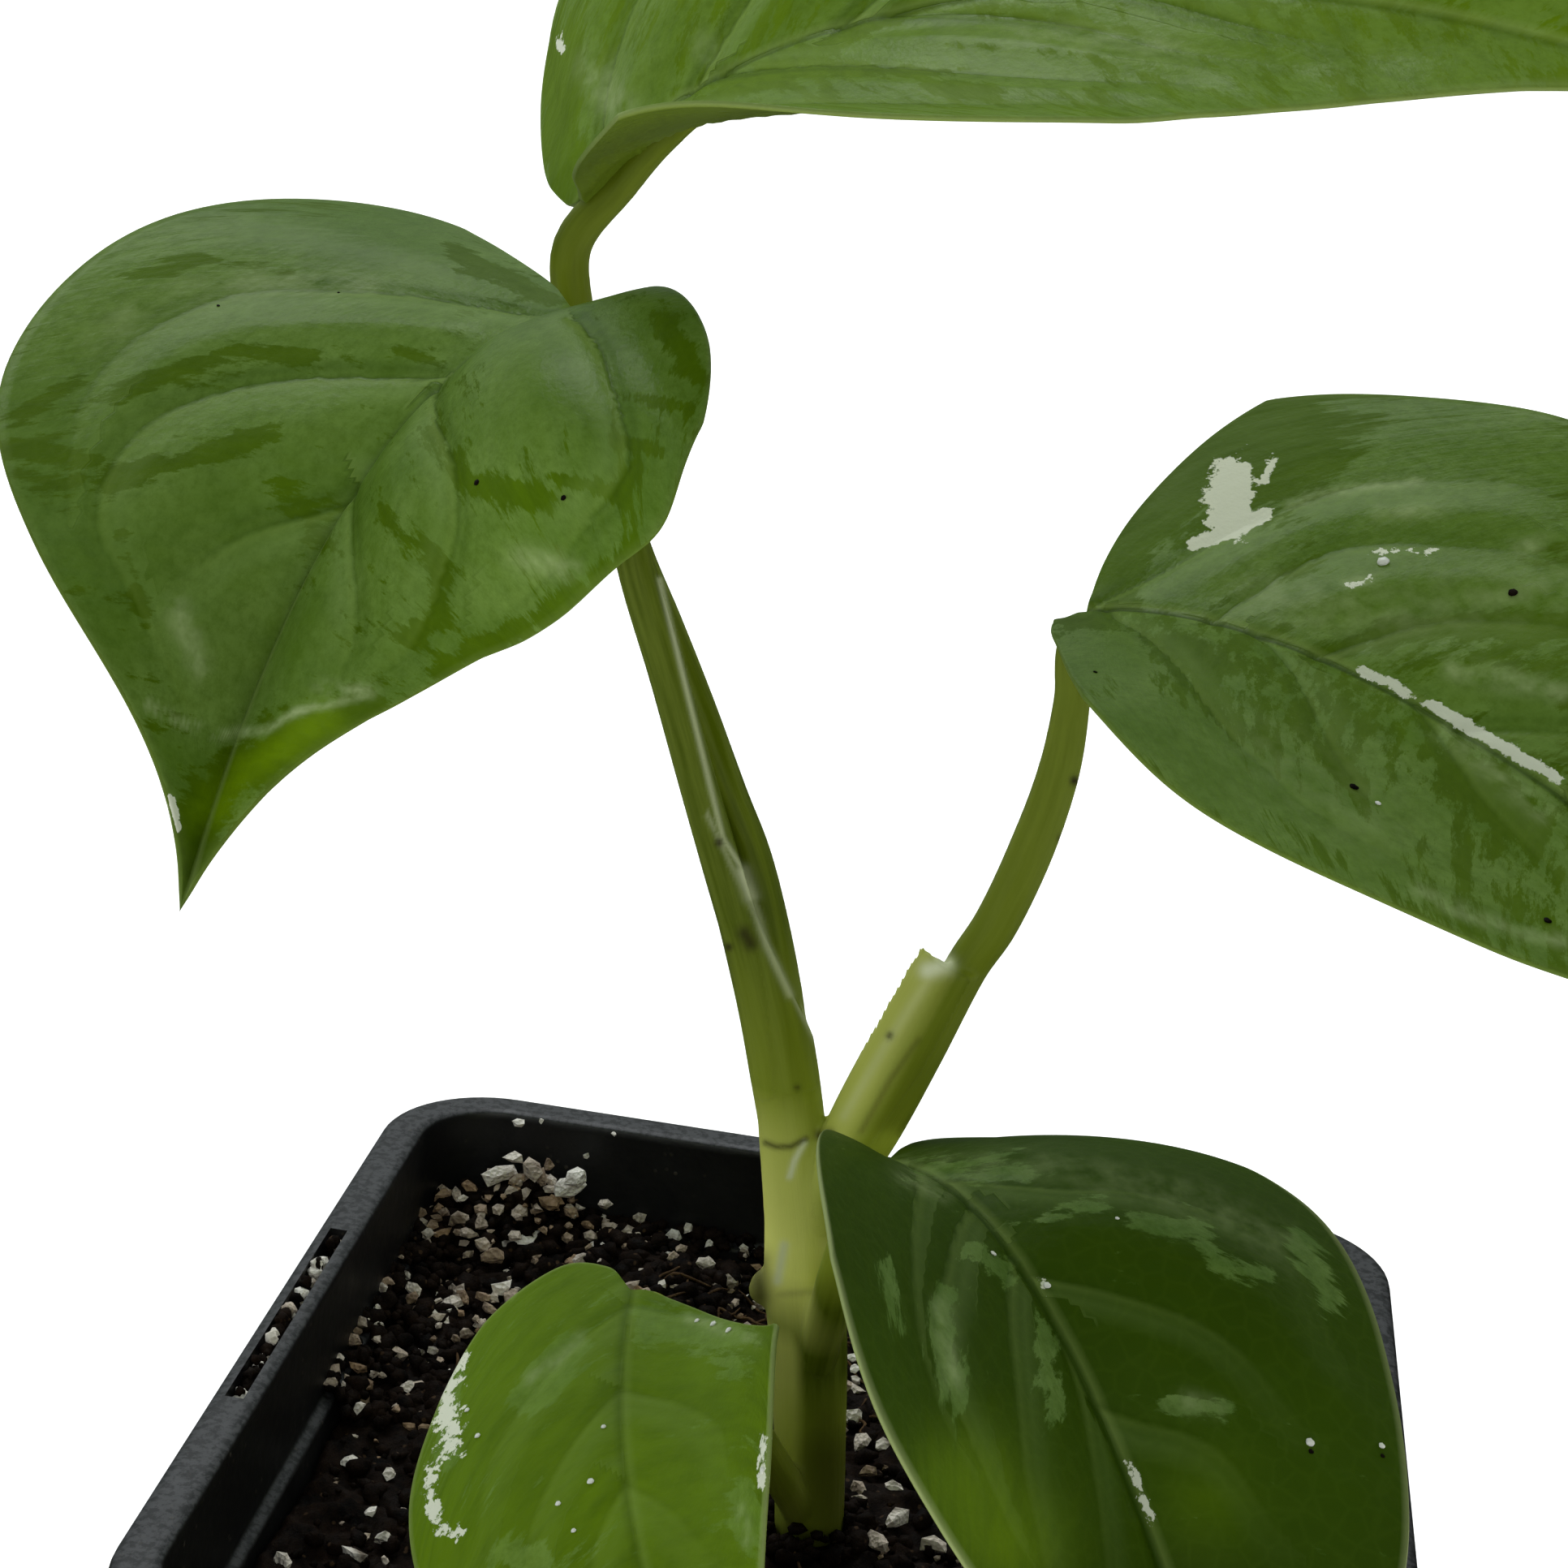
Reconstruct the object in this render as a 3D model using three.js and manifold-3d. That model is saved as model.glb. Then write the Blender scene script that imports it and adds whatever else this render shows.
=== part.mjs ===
// A young monstera with five entire, heart-shaped leaves on one stem, growing in a square nursery pot.
// Millimetres, +Z up. The origin is the middle of the pot's base, +Y runs to the back of the pot.
import * as THREE from "three";
import { mergeVertices } from "three/addons/utils/BufferGeometryUtils.js";
import Module from "manifold-3d";

const wasm = await Module();
wasm.setup();

// Pot
const potWidth = 90;
const potHeight = 88;
const potCorner = 10.3;
const baseWidth = 64;
const smallestCorner = 5.5;
const wall = 1.1;
const floorThickness = 2;
const rimWidth = 3.8;
const rimTop = 1.4;
const rimSkirt = 7;
const shoulderDrop = 9.5;
const shoulderStep = 0.9;
const slotLength = 28.4;
const slotWidth = 1.45;
const slotDepth = 3.4;
const drainRadius = 2.6;
const drainSpread = 21;
const grooveDepth = 0.9;
const grooveWidth = 4.4;

// Soil
const fitGap = 0.3;
const soilTop = 77;
const soilCells = 28;
const stoneCount = 40;
const crumbCount = 60;
const heapX = -19;
const heapY = 33;

// Stem: height of its foot in the soil, then the line that it follows
const stemFoot = 60;
const stemLine = [
  [0.6, -2.6, stemFoot],
  [0.2, -2.6, 71],
  [-0.2, -2.5, 78],
  [-1.0, -2.2, 86],
  [-1.9, -1.8, 93],
  [-2.8, -1.5, 98],
  [-3.7, -1.0, 103.2],
  [-4.9, -0.4, 109],
];
const stemRadii = [2.4, 2.5, 2.7, 2.8, 3.0, 3.1, 2.75, 2.6];

// Blades: the midrib's four control points, then half width and fullness, and in degrees the roll at
// base and tip. Lobes, slant and curl are for the left and the right side, seen from the base looking to
// the tip. A side with a slant has a wedge-shaped base in place of its lobe.
const bladeThickness = 0.6;
const ribSteps = 22;
const acrossSteps = [0, 0.07, 0.27, 0.5, 0.76, 1];
const keelHeight = 0.9;
const creaseWidth = 0.05;
const leaves = {
  a: {
    midrib: [[-25.4, -8.0, 170.7], [-37.2, -14.8, 167.5], [-43.4, -19.5, 144.9], [-41.3, -37.7, 136.3]],
    halfWidth: 29.2, lobes: [0.54, 0.1], slant: [0, 0], fullness: 1.25,
    roll: [-6, 11], foldLeft: [15, 54], foldRight: [6, 54], curl: [62, -4], foldEase: 1,
  },
  b: {
    midrib: [[-27.6, 3.2, 176.6], [-19.0, -0.1, 192.1], [11.2, -4.9, 201.3], [45.6, -11.8, 193.8]],
    halfWidth: 27.2, lobes: [0.2, 0], slant: [0, 0.31], fullness: 1.04,
    roll: [-30, -43], foldLeft: [14, 6], foldRight: [19, 0], curl: [3, -37], foldEase: 1.65,
  },
  c: {
    midrib: [[11.4, -1.8, 153.3], [26.8, -5.9, 157.5], [45.4, -20.2, 149.7], [64.4, -34.0, 140.6]],
    halfWidth: 26.7, lobes: [0.18, 0.61], slant: [0.11, 0.27], fullness: 0.75,
    roll: [-14, -27], foldLeft: [10, 23], foldRight: [16, 12], curl: [-4, -5], foldEase: 1,
  },
  d: {
    midrib: [[2.9, -11.7, 113.7], [14.8, -32.0, 124.6], [26.7, -38.1, 96.1], [32.5, -50.9, 91.1]],
    halfWidth: 24.7, lobes: [0.94, 0.35], slant: [0, 0.37], fullness: 0.75,
    roll: [3, -5], foldLeft: [15, 38], foldRight: [23, 21], curl: [40, -6], foldEase: 1,
  },
  e: {
    midrib: [[-13.5, -19.3, 104.8], [-12.2, -36.8, 101.3], [-5.9, -50.9, 98.8], [2.2, -61.0, 91.5]],
    halfWidth: 15.6, lobes: [0.35, 0.79], slant: [0.34, 0.11], fullness: 0.84,
    roll: [-20, -42], foldLeft: [-10, 23], foldRight: [2, 10], curl: [-52, 23], foldEase: 1,
  },
};
// Half of a heart-shaped outline, base to tip, in shares of the length and the half width
const heart = [
  [0, 0], [-0.1, 0.09], [-0.17, 0.33], [-0.12, 0.68], [0.06, 0.94], [0.27, 1], [0.49, 0.87],
  [0.69, 0.59], [0.85, 0.28], [0.945, 0.095], [1, 0],
];
const veinSpacing = 0.15;
const pleatHeight = 0.45;
const waveHeight = 0.5;

// Petioles: the line that each follows and its radii
const petioles = {
  a: {
    line: [[-5.5, -0.7, 109.7], [-8.6, -1.2, 120.6], [-12.4, -2.0, 131.2], [-14.4, -2.6, 136.8],
      [-17.3, -3.6, 145.2], [-19.8, -4.6, 152.2], [-22.2, -5.6, 160.5], [-24.3, -7.0, 167.4]],
    radii: [1.5, 1.5, 1.45, 1.4, 1.35, 1.35, 1.3, 1.3],
  },
  b: {
    line: [[-4.5, 0.3, 109.7], [-7.0, 1.0, 120.6], [-10.3, 1.5, 130.3], [-12.7, 1.8, 135.0],
      [-15.8, 2.2, 141.3], [-18.8, 2.6, 147.0], [-21.8, 3.0, 152.5], [-25.1, 3.2, 161.1],
      [-27.4, 3.3, 168.7], [-27.9, 3.3, 173.5]],
    radii: [1.2, 1.35, 1.4, 1.4, 1.4, 1.4, 1.4, 1.42, 1.45, 1.4],
  },
  c: {
    line: [[-3.0, -1.4, 101], [-1.2, -1.5, 106.2], [1.3, -1.6, 111.6], [3.8, -1.8, 118.3], [6.4, -2.0, 125.9],
      [8.0, -2.0, 129.3], [9.9, -2.1, 135.6], [11.1, -2.1, 141.9], [11.3, -2.1, 147.1], [11.1, -2.0, 151.2]],
    radii: [1.6, 1.8, 1.75, 1.65, 1.6, 1.65, 1.65, 1.5, 1.3, 1.25],
  },
  d: {
    line: [[-1.4, -2.2, 89.5], [-0.6, -4.7, 97], [0.6, -7.6, 105.5], [1.9, -10.2, 111]],
    radii: [1.5, 1.6, 1.45, 1.3],
  },
  e: {
    line: [[-0.3, -2.8, 78.4], [-3.7, -8.6, 87.4], [-8.4, -13.6, 97.1], [-12.3, -17.2, 102.6]],
    radii: [1.4, 1.4, 1.3, 1.15],
  },
};
const petioleSides = 10;
const sheathSides = 16;

// Sheath of petiole a, which wraps the foot of petiole b and ends in a slanting margin
const sheathLineA = [[-5.0, -0.2, 109.7], [-6.2, -0.2, 114.5], [-7.8, -0.3, 120.4], [-10.9, -0.6, 130], [-12.6, -0.9, 135]];
const sheathRadiiA = [2.5, 2.6, 2.6, 2.6, 2.6];
const marginPointA = [-8.8, -2.5, 126.6];
const marginSlopeA = [0.83, 0.24, 0.48];

// Sheath of petiole c, an open channel with a blunt end
const sheathLineC = [[-2.6, -1.3, 103.5], [-1.3, -1.4, 107.6], [0.1, -1.5, 112], [2.4, -1.8, 118.3], [5.3, -2.0, 126.4]];
const sheathRadiiC = [2.2, 2.35, 2.5, 2.65, 2.6];
const channelLineC = [[-0.5, -0.7, 112.5], [1.7, -1.1, 118.5], [4.9, -1.3, 128]];
const channelRadiiC = [1.1, 1.9, 2.0];

// Colours
const colours = { pot: 0x2b2b2c, soil: 0x241a13, plant: 0x46621c };

// A repeatable stream of numbers from 0 to 1
function randomFrom(seed) {
  let state = seed;
  return () => {
    state = (state * 1664525 + 1013904223) % 4294967296;
    return state / 4294967296;
  };
}

const vec = (p) => new THREE.Vector3(p[0], p[1], p[2]);
const rad = THREE.MathUtils.degToRad;
const lerp = THREE.MathUtils.lerp;

function solidFrom(geometry) {
  geometry.deleteAttribute("normal");
  geometry.deleteAttribute("uv");
  const merged = mergeVertices(geometry, 1e-4);
  return new wasm.Manifold(
    new wasm.Mesh({
      numProp: 3,
      vertProperties: new Float32Array(merged.attributes.position.array),
      triVerts: new Uint32Array(merged.index.array),
    }),
  );
}

function geometryFrom(solid) {
  const mesh = solid.getMesh();
  const geometry = new THREE.BufferGeometry();
  geometry.setAttribute("position", new THREE.BufferAttribute(new Float32Array(mesh.vertProperties), 3));
  geometry.setIndex(new THREE.BufferAttribute(new Uint32Array(mesh.triVerts), 1));
  geometry.computeVertexNormals();
  return geometry;
}

function fromTriangles(points, triangles) {
  const geometry = new THREE.BufferGeometry();
  const flat = points.flatMap((p) => [p.x, p.y, p.z]);
  geometry.setAttribute("position", new THREE.BufferAttribute(new Float32Array(flat), 3));
  geometry.setIndex(triangles.filter(([a, b, c]) => a !== b && b !== c && a !== c).flat());
  return geometry;
}

// A closed skin over rings of points, each ring counterclockwise seen from the next one
function loft(rings) {
  const sides = rings[0].length;
  const points = rings.flat();
  const triangles = [];
  for (let i = 0; i + 1 < rings.length; i++) {
    for (let k = 0; k < sides; k++) {
      const a = i * sides + k;
      const b = i * sides + ((k + 1) % sides);
      triangles.push([a, b, b + sides], [a, b + sides, a + sides]);
    }
  }
  for (const [ring, turn] of [[0, 1], [rings.length - 1, 0]]) {
    const centre = new THREE.Vector3();
    rings[ring].forEach((p) => centre.addScaledVector(p, 1 / sides));
    const hub = points.push(centre) - 1;
    for (let k = 0; k < sides; k++) {
      const a = ring * sides + k;
      const b = ring * sides + ((k + 1) % sides);
      triangles.push(turn ? [hub, b, a] : [hub, a, b]);
    }
  }
  return fromTriangles(points, triangles);
}

// A tapering round stalk along a smooth line
function stalk(line, radii, sides, steps, extra = 0) {
  const curve = new THREE.CatmullRomCurve3(line.map(vec), false, "centripetal");
  const rings = [];
  let across = new THREE.Vector3(1, 0, 0);
  for (let i = 0; i <= steps; i++) {
    const t = i / steps;
    const tangent = curve.getTangent(t);
    across = across.clone().addScaledVector(tangent, -across.dot(tangent)).normalize();
    const other = new THREE.Vector3().crossVectors(tangent, across);
    const place = t * (radii.length - 1);
    const k = Math.min(Math.floor(place), radii.length - 2);
    const radius = lerp(radii[k], radii[k + 1], place - k) + extra;
    const ring = [];
    for (let s = 0; s < sides; s++) {
      const angle = (2 * Math.PI * s) / sides;
      ring.push(
        curve.getPoint(t)
          .addScaledVector(across, radius * Math.cos(angle))
          .addScaledVector(other, radius * Math.sin(angle)),
      );
    }
    rings.push(ring);
  }
  return solidFrom(loft(rings));
}

// The rounded square that the pot's walls and the soil follow
function roundedSquare(half, corner, z, steps = 5) {
  const ring = [];
  for (let quarter = 0; quarter < 4; quarter++) {
    const turn = (quarter * Math.PI) / 2;
    const middle = new THREE.Vector2(half - corner, half - corner).rotateAround(new THREE.Vector2(), turn);
    for (let k = 0; k <= steps; k++) {
      const angle = turn + (k / steps) * (Math.PI / 2);
      ring.push(new THREE.Vector3(middle.x + corner * Math.cos(angle), middle.y + corner * Math.sin(angle), z));
    }
  }
  return ring;
}

const cornerAt = (half) => Math.max(smallestCorner, potCorner - (potWidth / 2 - half));
const collarInside = potWidth / 2 - rimWidth;
const shoulderZ = potHeight - shoulderDrop;
const innerFoot = baseWidth / 2 - wall;
const innerAtShoulder = collarInside - shoulderStep - 0.4;

// A line made longer at both ends
function lengthened(line, by) {
  const reach = (end, inner) => vec(end).addScaledVector(vec(end).sub(vec(inner)).normalize(), by).toArray();
  return [reach(line[0], line[1]), ...line.slice(1, -1), reach(line[line.length - 1], line[line.length - 2])];
}

// Half width of the pot's inside below its shoulder
function innerHalf(z) {
  return lerp(innerFoot, innerAtShoulder, (z - floorThickness) / (shoulderZ - floorThickness));
}

function box(width, depth, height, x, y, z, turn = 0) {
  const geometry = new THREE.BoxGeometry(width, depth, height);
  geometry.rotateZ(turn);
  geometry.translate(x, y, z);
  return solidFrom(geometry);
}

function makePot() {
  const out = potWidth / 2;
  const collarOutside = collarInside + wall;
  const profile = [
    [baseWidth / 2 - 0.8, 0],
    [baseWidth / 2, 0.8],
    [innerAtShoulder + wall, shoulderZ - 1.2],
    [collarOutside - 0.3, shoulderZ],
    [collarOutside, potHeight - rimTop],
    [out - wall, potHeight - rimTop],
    [out - wall, potHeight - rimSkirt],
    [out, potHeight - rimSkirt],
    [out, potHeight - 0.9],
    [out - 0.25, potHeight - 0.25],
    [out - 0.9, potHeight],
    [collarInside + 0.7, potHeight],
    [collarInside + 0.15, potHeight - 0.2],
    [collarInside, potHeight - 0.7],
    [collarInside - 0.3, shoulderZ + 0.3],
    [innerAtShoulder, shoulderZ],
    [innerFoot + 0.2, floorThickness + 0.8],
    [innerFoot - 0.8, floorThickness],
  ];
  let pot = solidFrom(loft(profile.map(([half, z]) => roundedSquare(half, cornerAt(half), z))));
  const slotX = potWidth / 2 - wall - slotWidth / 2 - 0.02;
  for (const side of [-1, 1]) {
    const pocketTop = potHeight - rimTop / 2;
    const pocketFoot = potHeight - slotDepth - 1;
    pot = pot.add(
      box(rimWidth - wall, slotLength + 2, pocketTop - pocketFoot,
        side * (potWidth / 2 - rimWidth / 2), 0, (pocketTop + pocketFoot) / 2),
    );
    pot = pot.subtract(
      box(slotWidth, slotLength, slotDepth + 1, side * slotX, 0, potHeight - slotDepth / 2 + 0.5),
    );
  }
  for (let k = 0; k < 8; k++) {
    const turn = (k * Math.PI) / 4;
    const spread = k % 2 ? drainSpread * 1.2 : drainSpread;
    const hole = new THREE.CylinderGeometry(drainRadius, drainRadius, 4 * floorThickness, 14);
    hole.rotateX(Math.PI / 2);
    hole.translate(spread * Math.cos(turn), spread * Math.sin(turn), floorThickness / 2);
    const groove = box(20, grooveWidth, 2 * grooveDepth,
      (spread + 10) * Math.cos(turn), (spread + 10) * Math.sin(turn), 0, turn);
    pot = pot.subtract(solidFrom(hole)).subtract(groove);
  }
  return pot;
}

// Gentle humps of the soil, with the heap of crumbs that lies against the back wall
function soilRelief(crumbs) {
  return (x, y) => {
    let z = 0.5 * Math.sin(x * 0.21 + 1) * Math.cos(y * 0.17) + 0.35 * Math.sin(x * 0.43 - y * 0.37);
    z += 3.2 * Math.exp(-((x - heapX) ** 2 + (y - heapY) ** 2) / 70);
    for (const crumb of crumbs) {
      const far = (x - crumb.x) ** 2 + (y - crumb.y) ** 2;
      z += crumb.height * Math.exp(-far / crumb.spread ** 2);
    }
    return z;
  };
}

function makeSoil() {
  const draw = randomFrom(11);
  const crumbs = [];
  for (let k = 0; k < crumbCount; k++) {
    crumbs.push({
      x: (draw() * 2 - 1) * 36, y: (draw() * 2 - 1) * 36, height: 0.5 + draw() * 0.9, spread: 1.6 + draw() * 1.8,
    });
  }
  const relief = soilRelief(crumbs);
  const topHalf = innerHalf(soilTop) - fitGap;
  const topCorner = cornerAt(topHalf);
  const n = soilCells;
  const points = [];
  const triangles = [];
  const place = (i, j) => {
    const u = (2 * i) / n - 1;
    const v = (2 * j) / n - 1;
    const far = Math.max(Math.abs(u), Math.abs(v));
    const near = Math.min(Math.abs(u), Math.abs(v));
    if (far === 0) return [0, 0];
    // Where the ray through (u, v) leaves the rounded square, as a share of where it leaves the square
    const straight = topHalf - topCorner;
    let share = 1;
    const slope = near / far;
    if (slope * topHalf > straight) {
      const a = 1 + slope * slope;
      const b = straight * (1 + slope);
      share = (b + Math.sqrt(b * b - a * (2 * straight * straight - topCorner * topCorner))) / a / topHalf;
    }
    return [u * topHalf * share, v * topHalf * share];
  };
  for (let j = 0; j <= n; j++) {
    for (let i = 0; i <= n; i++) {
      const [x, y] = place(i, j);
      const edge = Math.max(Math.abs((2 * i) / n - 1), Math.abs((2 * j) / n - 1));
      const z = soilTop + relief(x, y) * (edge === 1 ? 0.3 : 1);
      points.push(new THREE.Vector3(x, y, z));
    }
  }
  const at = (i, j) => j * (n + 1) + i;
  for (let j = 0; j < n; j++) {
    for (let i = 0; i < n; i++) {
      triangles.push([at(i, j), at(i + 1, j), at(i + 1, j + 1)], [at(i, j), at(i + 1, j + 1), at(i, j + 1)]);
    }
  }
  const loop = [];
  for (let k = 0; k < n; k++) loop.push(at(k, 0));
  for (let k = 0; k < n; k++) loop.push(at(n, k));
  for (let k = n; k > 0; k--) loop.push(at(k, n));
  for (let k = n; k > 0; k--) loop.push(at(0, k));
  const footHalf = innerFoot - 0.8 - fitGap;
  const footZ = floorThickness + fitGap;
  const foot = loop.map((index) => {
    const p = points[index];
    return points.push(new THREE.Vector3((p.x * footHalf) / topHalf, (p.y * footHalf) / topHalf, footZ)) - 1;
  });
  const hub = points.push(new THREE.Vector3(0, 0, footZ)) - 1;
  loop.forEach((top, k) => {
    const next = (k + 1) % loop.length;
    triangles.push([top, foot[k], foot[next]], [top, foot[next], loop[next]], [hub, foot[next], foot[k]]);
  });
  let soil = solidFrom(fromTriangles(points, triangles));
  for (const stone of makeStones(relief, topHalf)) soil = soil.add(stone);
  return soil.subtract(stalk(lengthened(stemLine, 2 * fitGap), stemRadii, 16, 26, fitGap));
}

// Perlite and bark grains lying on the soil, each sunk by about half, thickest on the heap
function makeStones(relief, topHalf) {
  const draw = randomFrom(29);
  const stones = [];
  while (stones.length < stoneCount) {
    const heaped = stones.length < stoneCount / 3;
    const x = heaped ? heapX + (draw() - 0.5) * 22 : (draw() * 2 - 1) * (topHalf - 3);
    const y = heaped ? heapY - 1.5 + (draw() - 0.5) * 10 : (draw() * 2 - 1) * (topHalf - 3);
    const size = (heaped ? 1.0 : 0.8) + 1.0 * draw() ** 2;
    const nearStem = Math.hypot(x - stemLine[2][0], y - stemLine[2][1]) < 5;
    if (nearStem || Math.abs(x) > topHalf - 3 || Math.abs(y) > topHalf - 3) continue;
    const stone = new THREE.IcosahedronGeometry(size, 0);
    stone.scale(1, 0.7 + 0.4 * draw(), 0.8);
    stone.rotateX(draw() * 3);
    stone.rotateZ(draw() * 6);
    stone.translate(x, y, soilTop + relief(x, y) + size * 0.1);
    stones.push(solidFrom(stone));
  }
  return stones;
}

function makeStem() {
  const bud = new THREE.SphereGeometry(1, 10, 6);
  bud.scale(1.1, 0.9, 1.6);
  bud.translate(-5.6, -1.6, 97.4);
  return stalk(stemLine, stemRadii, 16, 26).add(solidFrom(bud));
}

// A point of the smooth outline, for a share of the way from the notch to the tip
const heartCurve = new THREE.CatmullRomCurve3(
  heart.map(([along, across]) => new THREE.Vector3(along, across, 0)), false, "catmullrom",
);
const heartPoints = heartCurve.getPoints(160);

function outlineAt(share) {
  const place = share * (heartPoints.length - 1);
  const k = Math.min(Math.floor(place), heartPoints.length - 2);
  return heartPoints[k].clone().lerp(heartPoints[k + 1], place - k);
}

// The middle of a blade's sheet: along is 0 at the notch and 1 at the tip, across is -1 to 1
function bladeMap(leaf) {
  const midrib = new THREE.CubicBezierCurve3(...leaf.midrib.map(vec));
  const length = midrib.getLength();
  const up = new THREE.Vector3(0, 0, 1);
  return (along, across) => {
    const t = THREE.MathUtils.clamp(along, 0, 1);
    const tangent = midrib.getTangent(t);
    const level = new THREE.Vector3().crossVectors(tangent, up).normalize();
    const raised = new THREE.Vector3().crossVectors(level, tangent);
    const roll = rad(lerp(leaf.roll[0], leaf.roll[1], t));
    const side = level.clone().multiplyScalar(Math.cos(roll)).addScaledVector(raised, Math.sin(roll));
    const normal = new THREE.Vector3().crossVectors(side, tangent);
    const left = across < 0;
    const fold = left ? leaf.foldLeft : leaf.foldRight;
    const ease = 1 - (1 - t) ** leaf.foldEase;
    const share = Math.abs(across);
    const tilt = rad(lerp(fold[0], fold[1], ease)) - 0.5 * rad(leaf.curl[left ? 0 : 1]) * share;
    const reach = share * leaf.halfWidth;
    const vein = along - 0.16 * share - 0.22 * share ** 4;
    const pleat = -pleatHeight * Math.cos((2 * Math.PI * vein) / veinSpacing) * 4 * share * (1 - share);
    const wave = waveHeight * share ** 3 * Math.sin(2 * Math.PI * (2.4 * along + (left ? 0.2 : 0.55)));
    return midrib.getPoint(t)
      .addScaledVector(tangent, (along - t) * length)
      .addScaledVector(side, Math.sign(across) * reach * Math.cos(tilt))
      .addScaledVector(normal, reach * Math.sin(tilt) + (pleat + wave) * Math.sin(Math.PI * Math.min(1, t + 0.2)));
  };
}

// One blade as a closed sheet with its keel below
function makeBlade(leaf) {
  const map = bladeMap(leaf);
  const columns = [...acrossSteps.slice(1).reverse().map((v) => -v), ...acrossSteps];
  const faces = { top: [], under: [] };
  for (let i = 0; i <= ribSteps; i++) {
    const share = i / ribSteps;
    const root = share ** 2.4;
    for (const v of columns) {
      const rim = outlineAt(Math.max(share, 0.02));
      const side = v < 0 ? 0 : 1;
      const rimAcross = Math.max(rim.y, 0) ** leaf.fullness;
            const lobed = rim.x < 0 ? rim.x * leaf.lobes[side] : rim.x;
      const rimAlong = lobed + leaf.slant[side] * rimAcross * (1 - lobed) ** 2;
      const along = lerp(root, rimAlong, Math.abs(v));
      const across = v * rimAcross;
      const small = 0.004;
      const here = map(along, across);
      const ahead = map(along + small, across).sub(map(along - small, across));
      const aside = map(along, across + creaseWidth).sub(map(along, across - creaseWidth));
      const normal = new THREE.Vector3().crossVectors(aside, ahead).normalize();
      const keel = v === 0 ? keelHeight * (1 - 0.85 * share) : 0;
      faces.top.push(here.clone().addScaledVector(normal, bladeThickness / 2));
      faces.under.push(here.clone().addScaledVector(normal, -bladeThickness / 2 - keel));
    }
  }
  const wide = columns.length;
  const count = faces.top.length;
  const points = [...faces.top, ...faces.under];
  const triangles = [];
  const tip = ribSteps * wide;
  const at = (i, k) => (i === ribSteps ? tip : i * wide + k);
  for (let i = 0; i < ribSteps; i++) {
    for (let k = 0; k + 1 < wide; k++) {
      const [a, b, c, d] = [at(i, k), at(i, k + 1), at(i + 1, k + 1), at(i + 1, k)];
      triangles.push([a, b, c], [a, c, d]);
      triangles.push([a + count, c + count, b + count], [a + count, d + count, c + count]);
    }
    for (const [k, turn] of [[0, 1], [wide - 1, 0]]) {
      const a = at(i, k);
      const d = at(i + 1, k);
      const edge = [[a, d + count, a + count], [a, d, d + count]];
      triangles.push(...(turn ? edge : edge.map(([p, q, r]) => [p, r, q])));
    }
  }
  for (let k = 0; k + 1 < wide; k++) {
    const a = at(0, k);
    const b = at(0, k + 1);
    triangles.push([a, b + count, b], [a, a + count, b + count]);
  }
  return solidFrom(fromTriangles(points, triangles));
}

// Two points in the keel, where a petiole runs out under its blade
function keelPoints(leaf) {
  const map = bladeMap(leaf);
  return [0.03, 0.1].map((along) => {
    const ahead = map(along + 0.01, 0).sub(map(along, 0));
    const aside = map(along, 0.02).sub(map(along, -0.02));
    const normal = new THREE.Vector3().crossVectors(aside, ahead).normalize();
    return map(along, 0).addScaledVector(normal, -0.6).toArray();
  });
}

function makePetiole(name, steps) {
  const { line, radii } = petioles[name];
  return stalk([...line, ...keelPoints(leaves[name])], [...radii, 0.95, 0.5], petioleSides, steps);
}

// Everything past a plane, as a large block
function beyond(point, direction) {
  const size = 60;
  const block = new THREE.BoxGeometry(size, size, size);
  block.translate(0, 0, size / 2);
  const turn = new THREE.Quaternion().setFromUnitVectors(new THREE.Vector3(0, 0, 1), vec(direction).normalize());
  block.applyQuaternion(turn);
  block.translate(...point);
  return solidFrom(block);
}

// The sheath of petiole a wraps the foot of petiole b up to a slanting margin
function makeSheathA() {
  return stalk(sheathLineA, sheathRadiiA, sheathSides, 12).subtract(beyond(marginPointA, marginSlopeA));
}

// The sheath of petiole c is open along its upper side
function makeSheathC() {
  const channel = stalk(channelLineC, channelRadiiC, sheathSides, 8);
  return stalk(sheathLineC, sheathRadiiC, sheathSides, 10).subtract(channel);
}

// The plant grew as one piece: stem, sheaths, petioles and blades are one solid
function makePlant() {
  const parts = [
    makeStem(), makeSheathA(), makeSheathC(), makePetiole("a", 22), makePetiole("b", 24), makePetiole("c", 24),
    makePetiole("d", 14), makePetiole("e", 14), ...Object.values(leaves).map(makeBlade),
  ];
  return parts.reduce((joined, part) => joined.add(part));
}

const model = new THREE.Group();

function addMesh(name, solid, colour, roughness) {
  const material = new THREE.MeshStandardMaterial({ color: colour, roughness, metalness: 0 });
  const mesh = new THREE.Mesh(geometryFrom(solid), material);
  mesh.name = name;
  model.add(mesh);
}

addMesh("pot", makePot(), colours.pot, 0.45);
addMesh("soil", makeSoil(), colours.soil, 0.95);
addMesh("plant", makePlant(), colours.plant, 0.3);

export default model;
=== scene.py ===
import math

import bmesh
import bpy
import numpy as np
from mathutils import Matrix, Vector, noise


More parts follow.
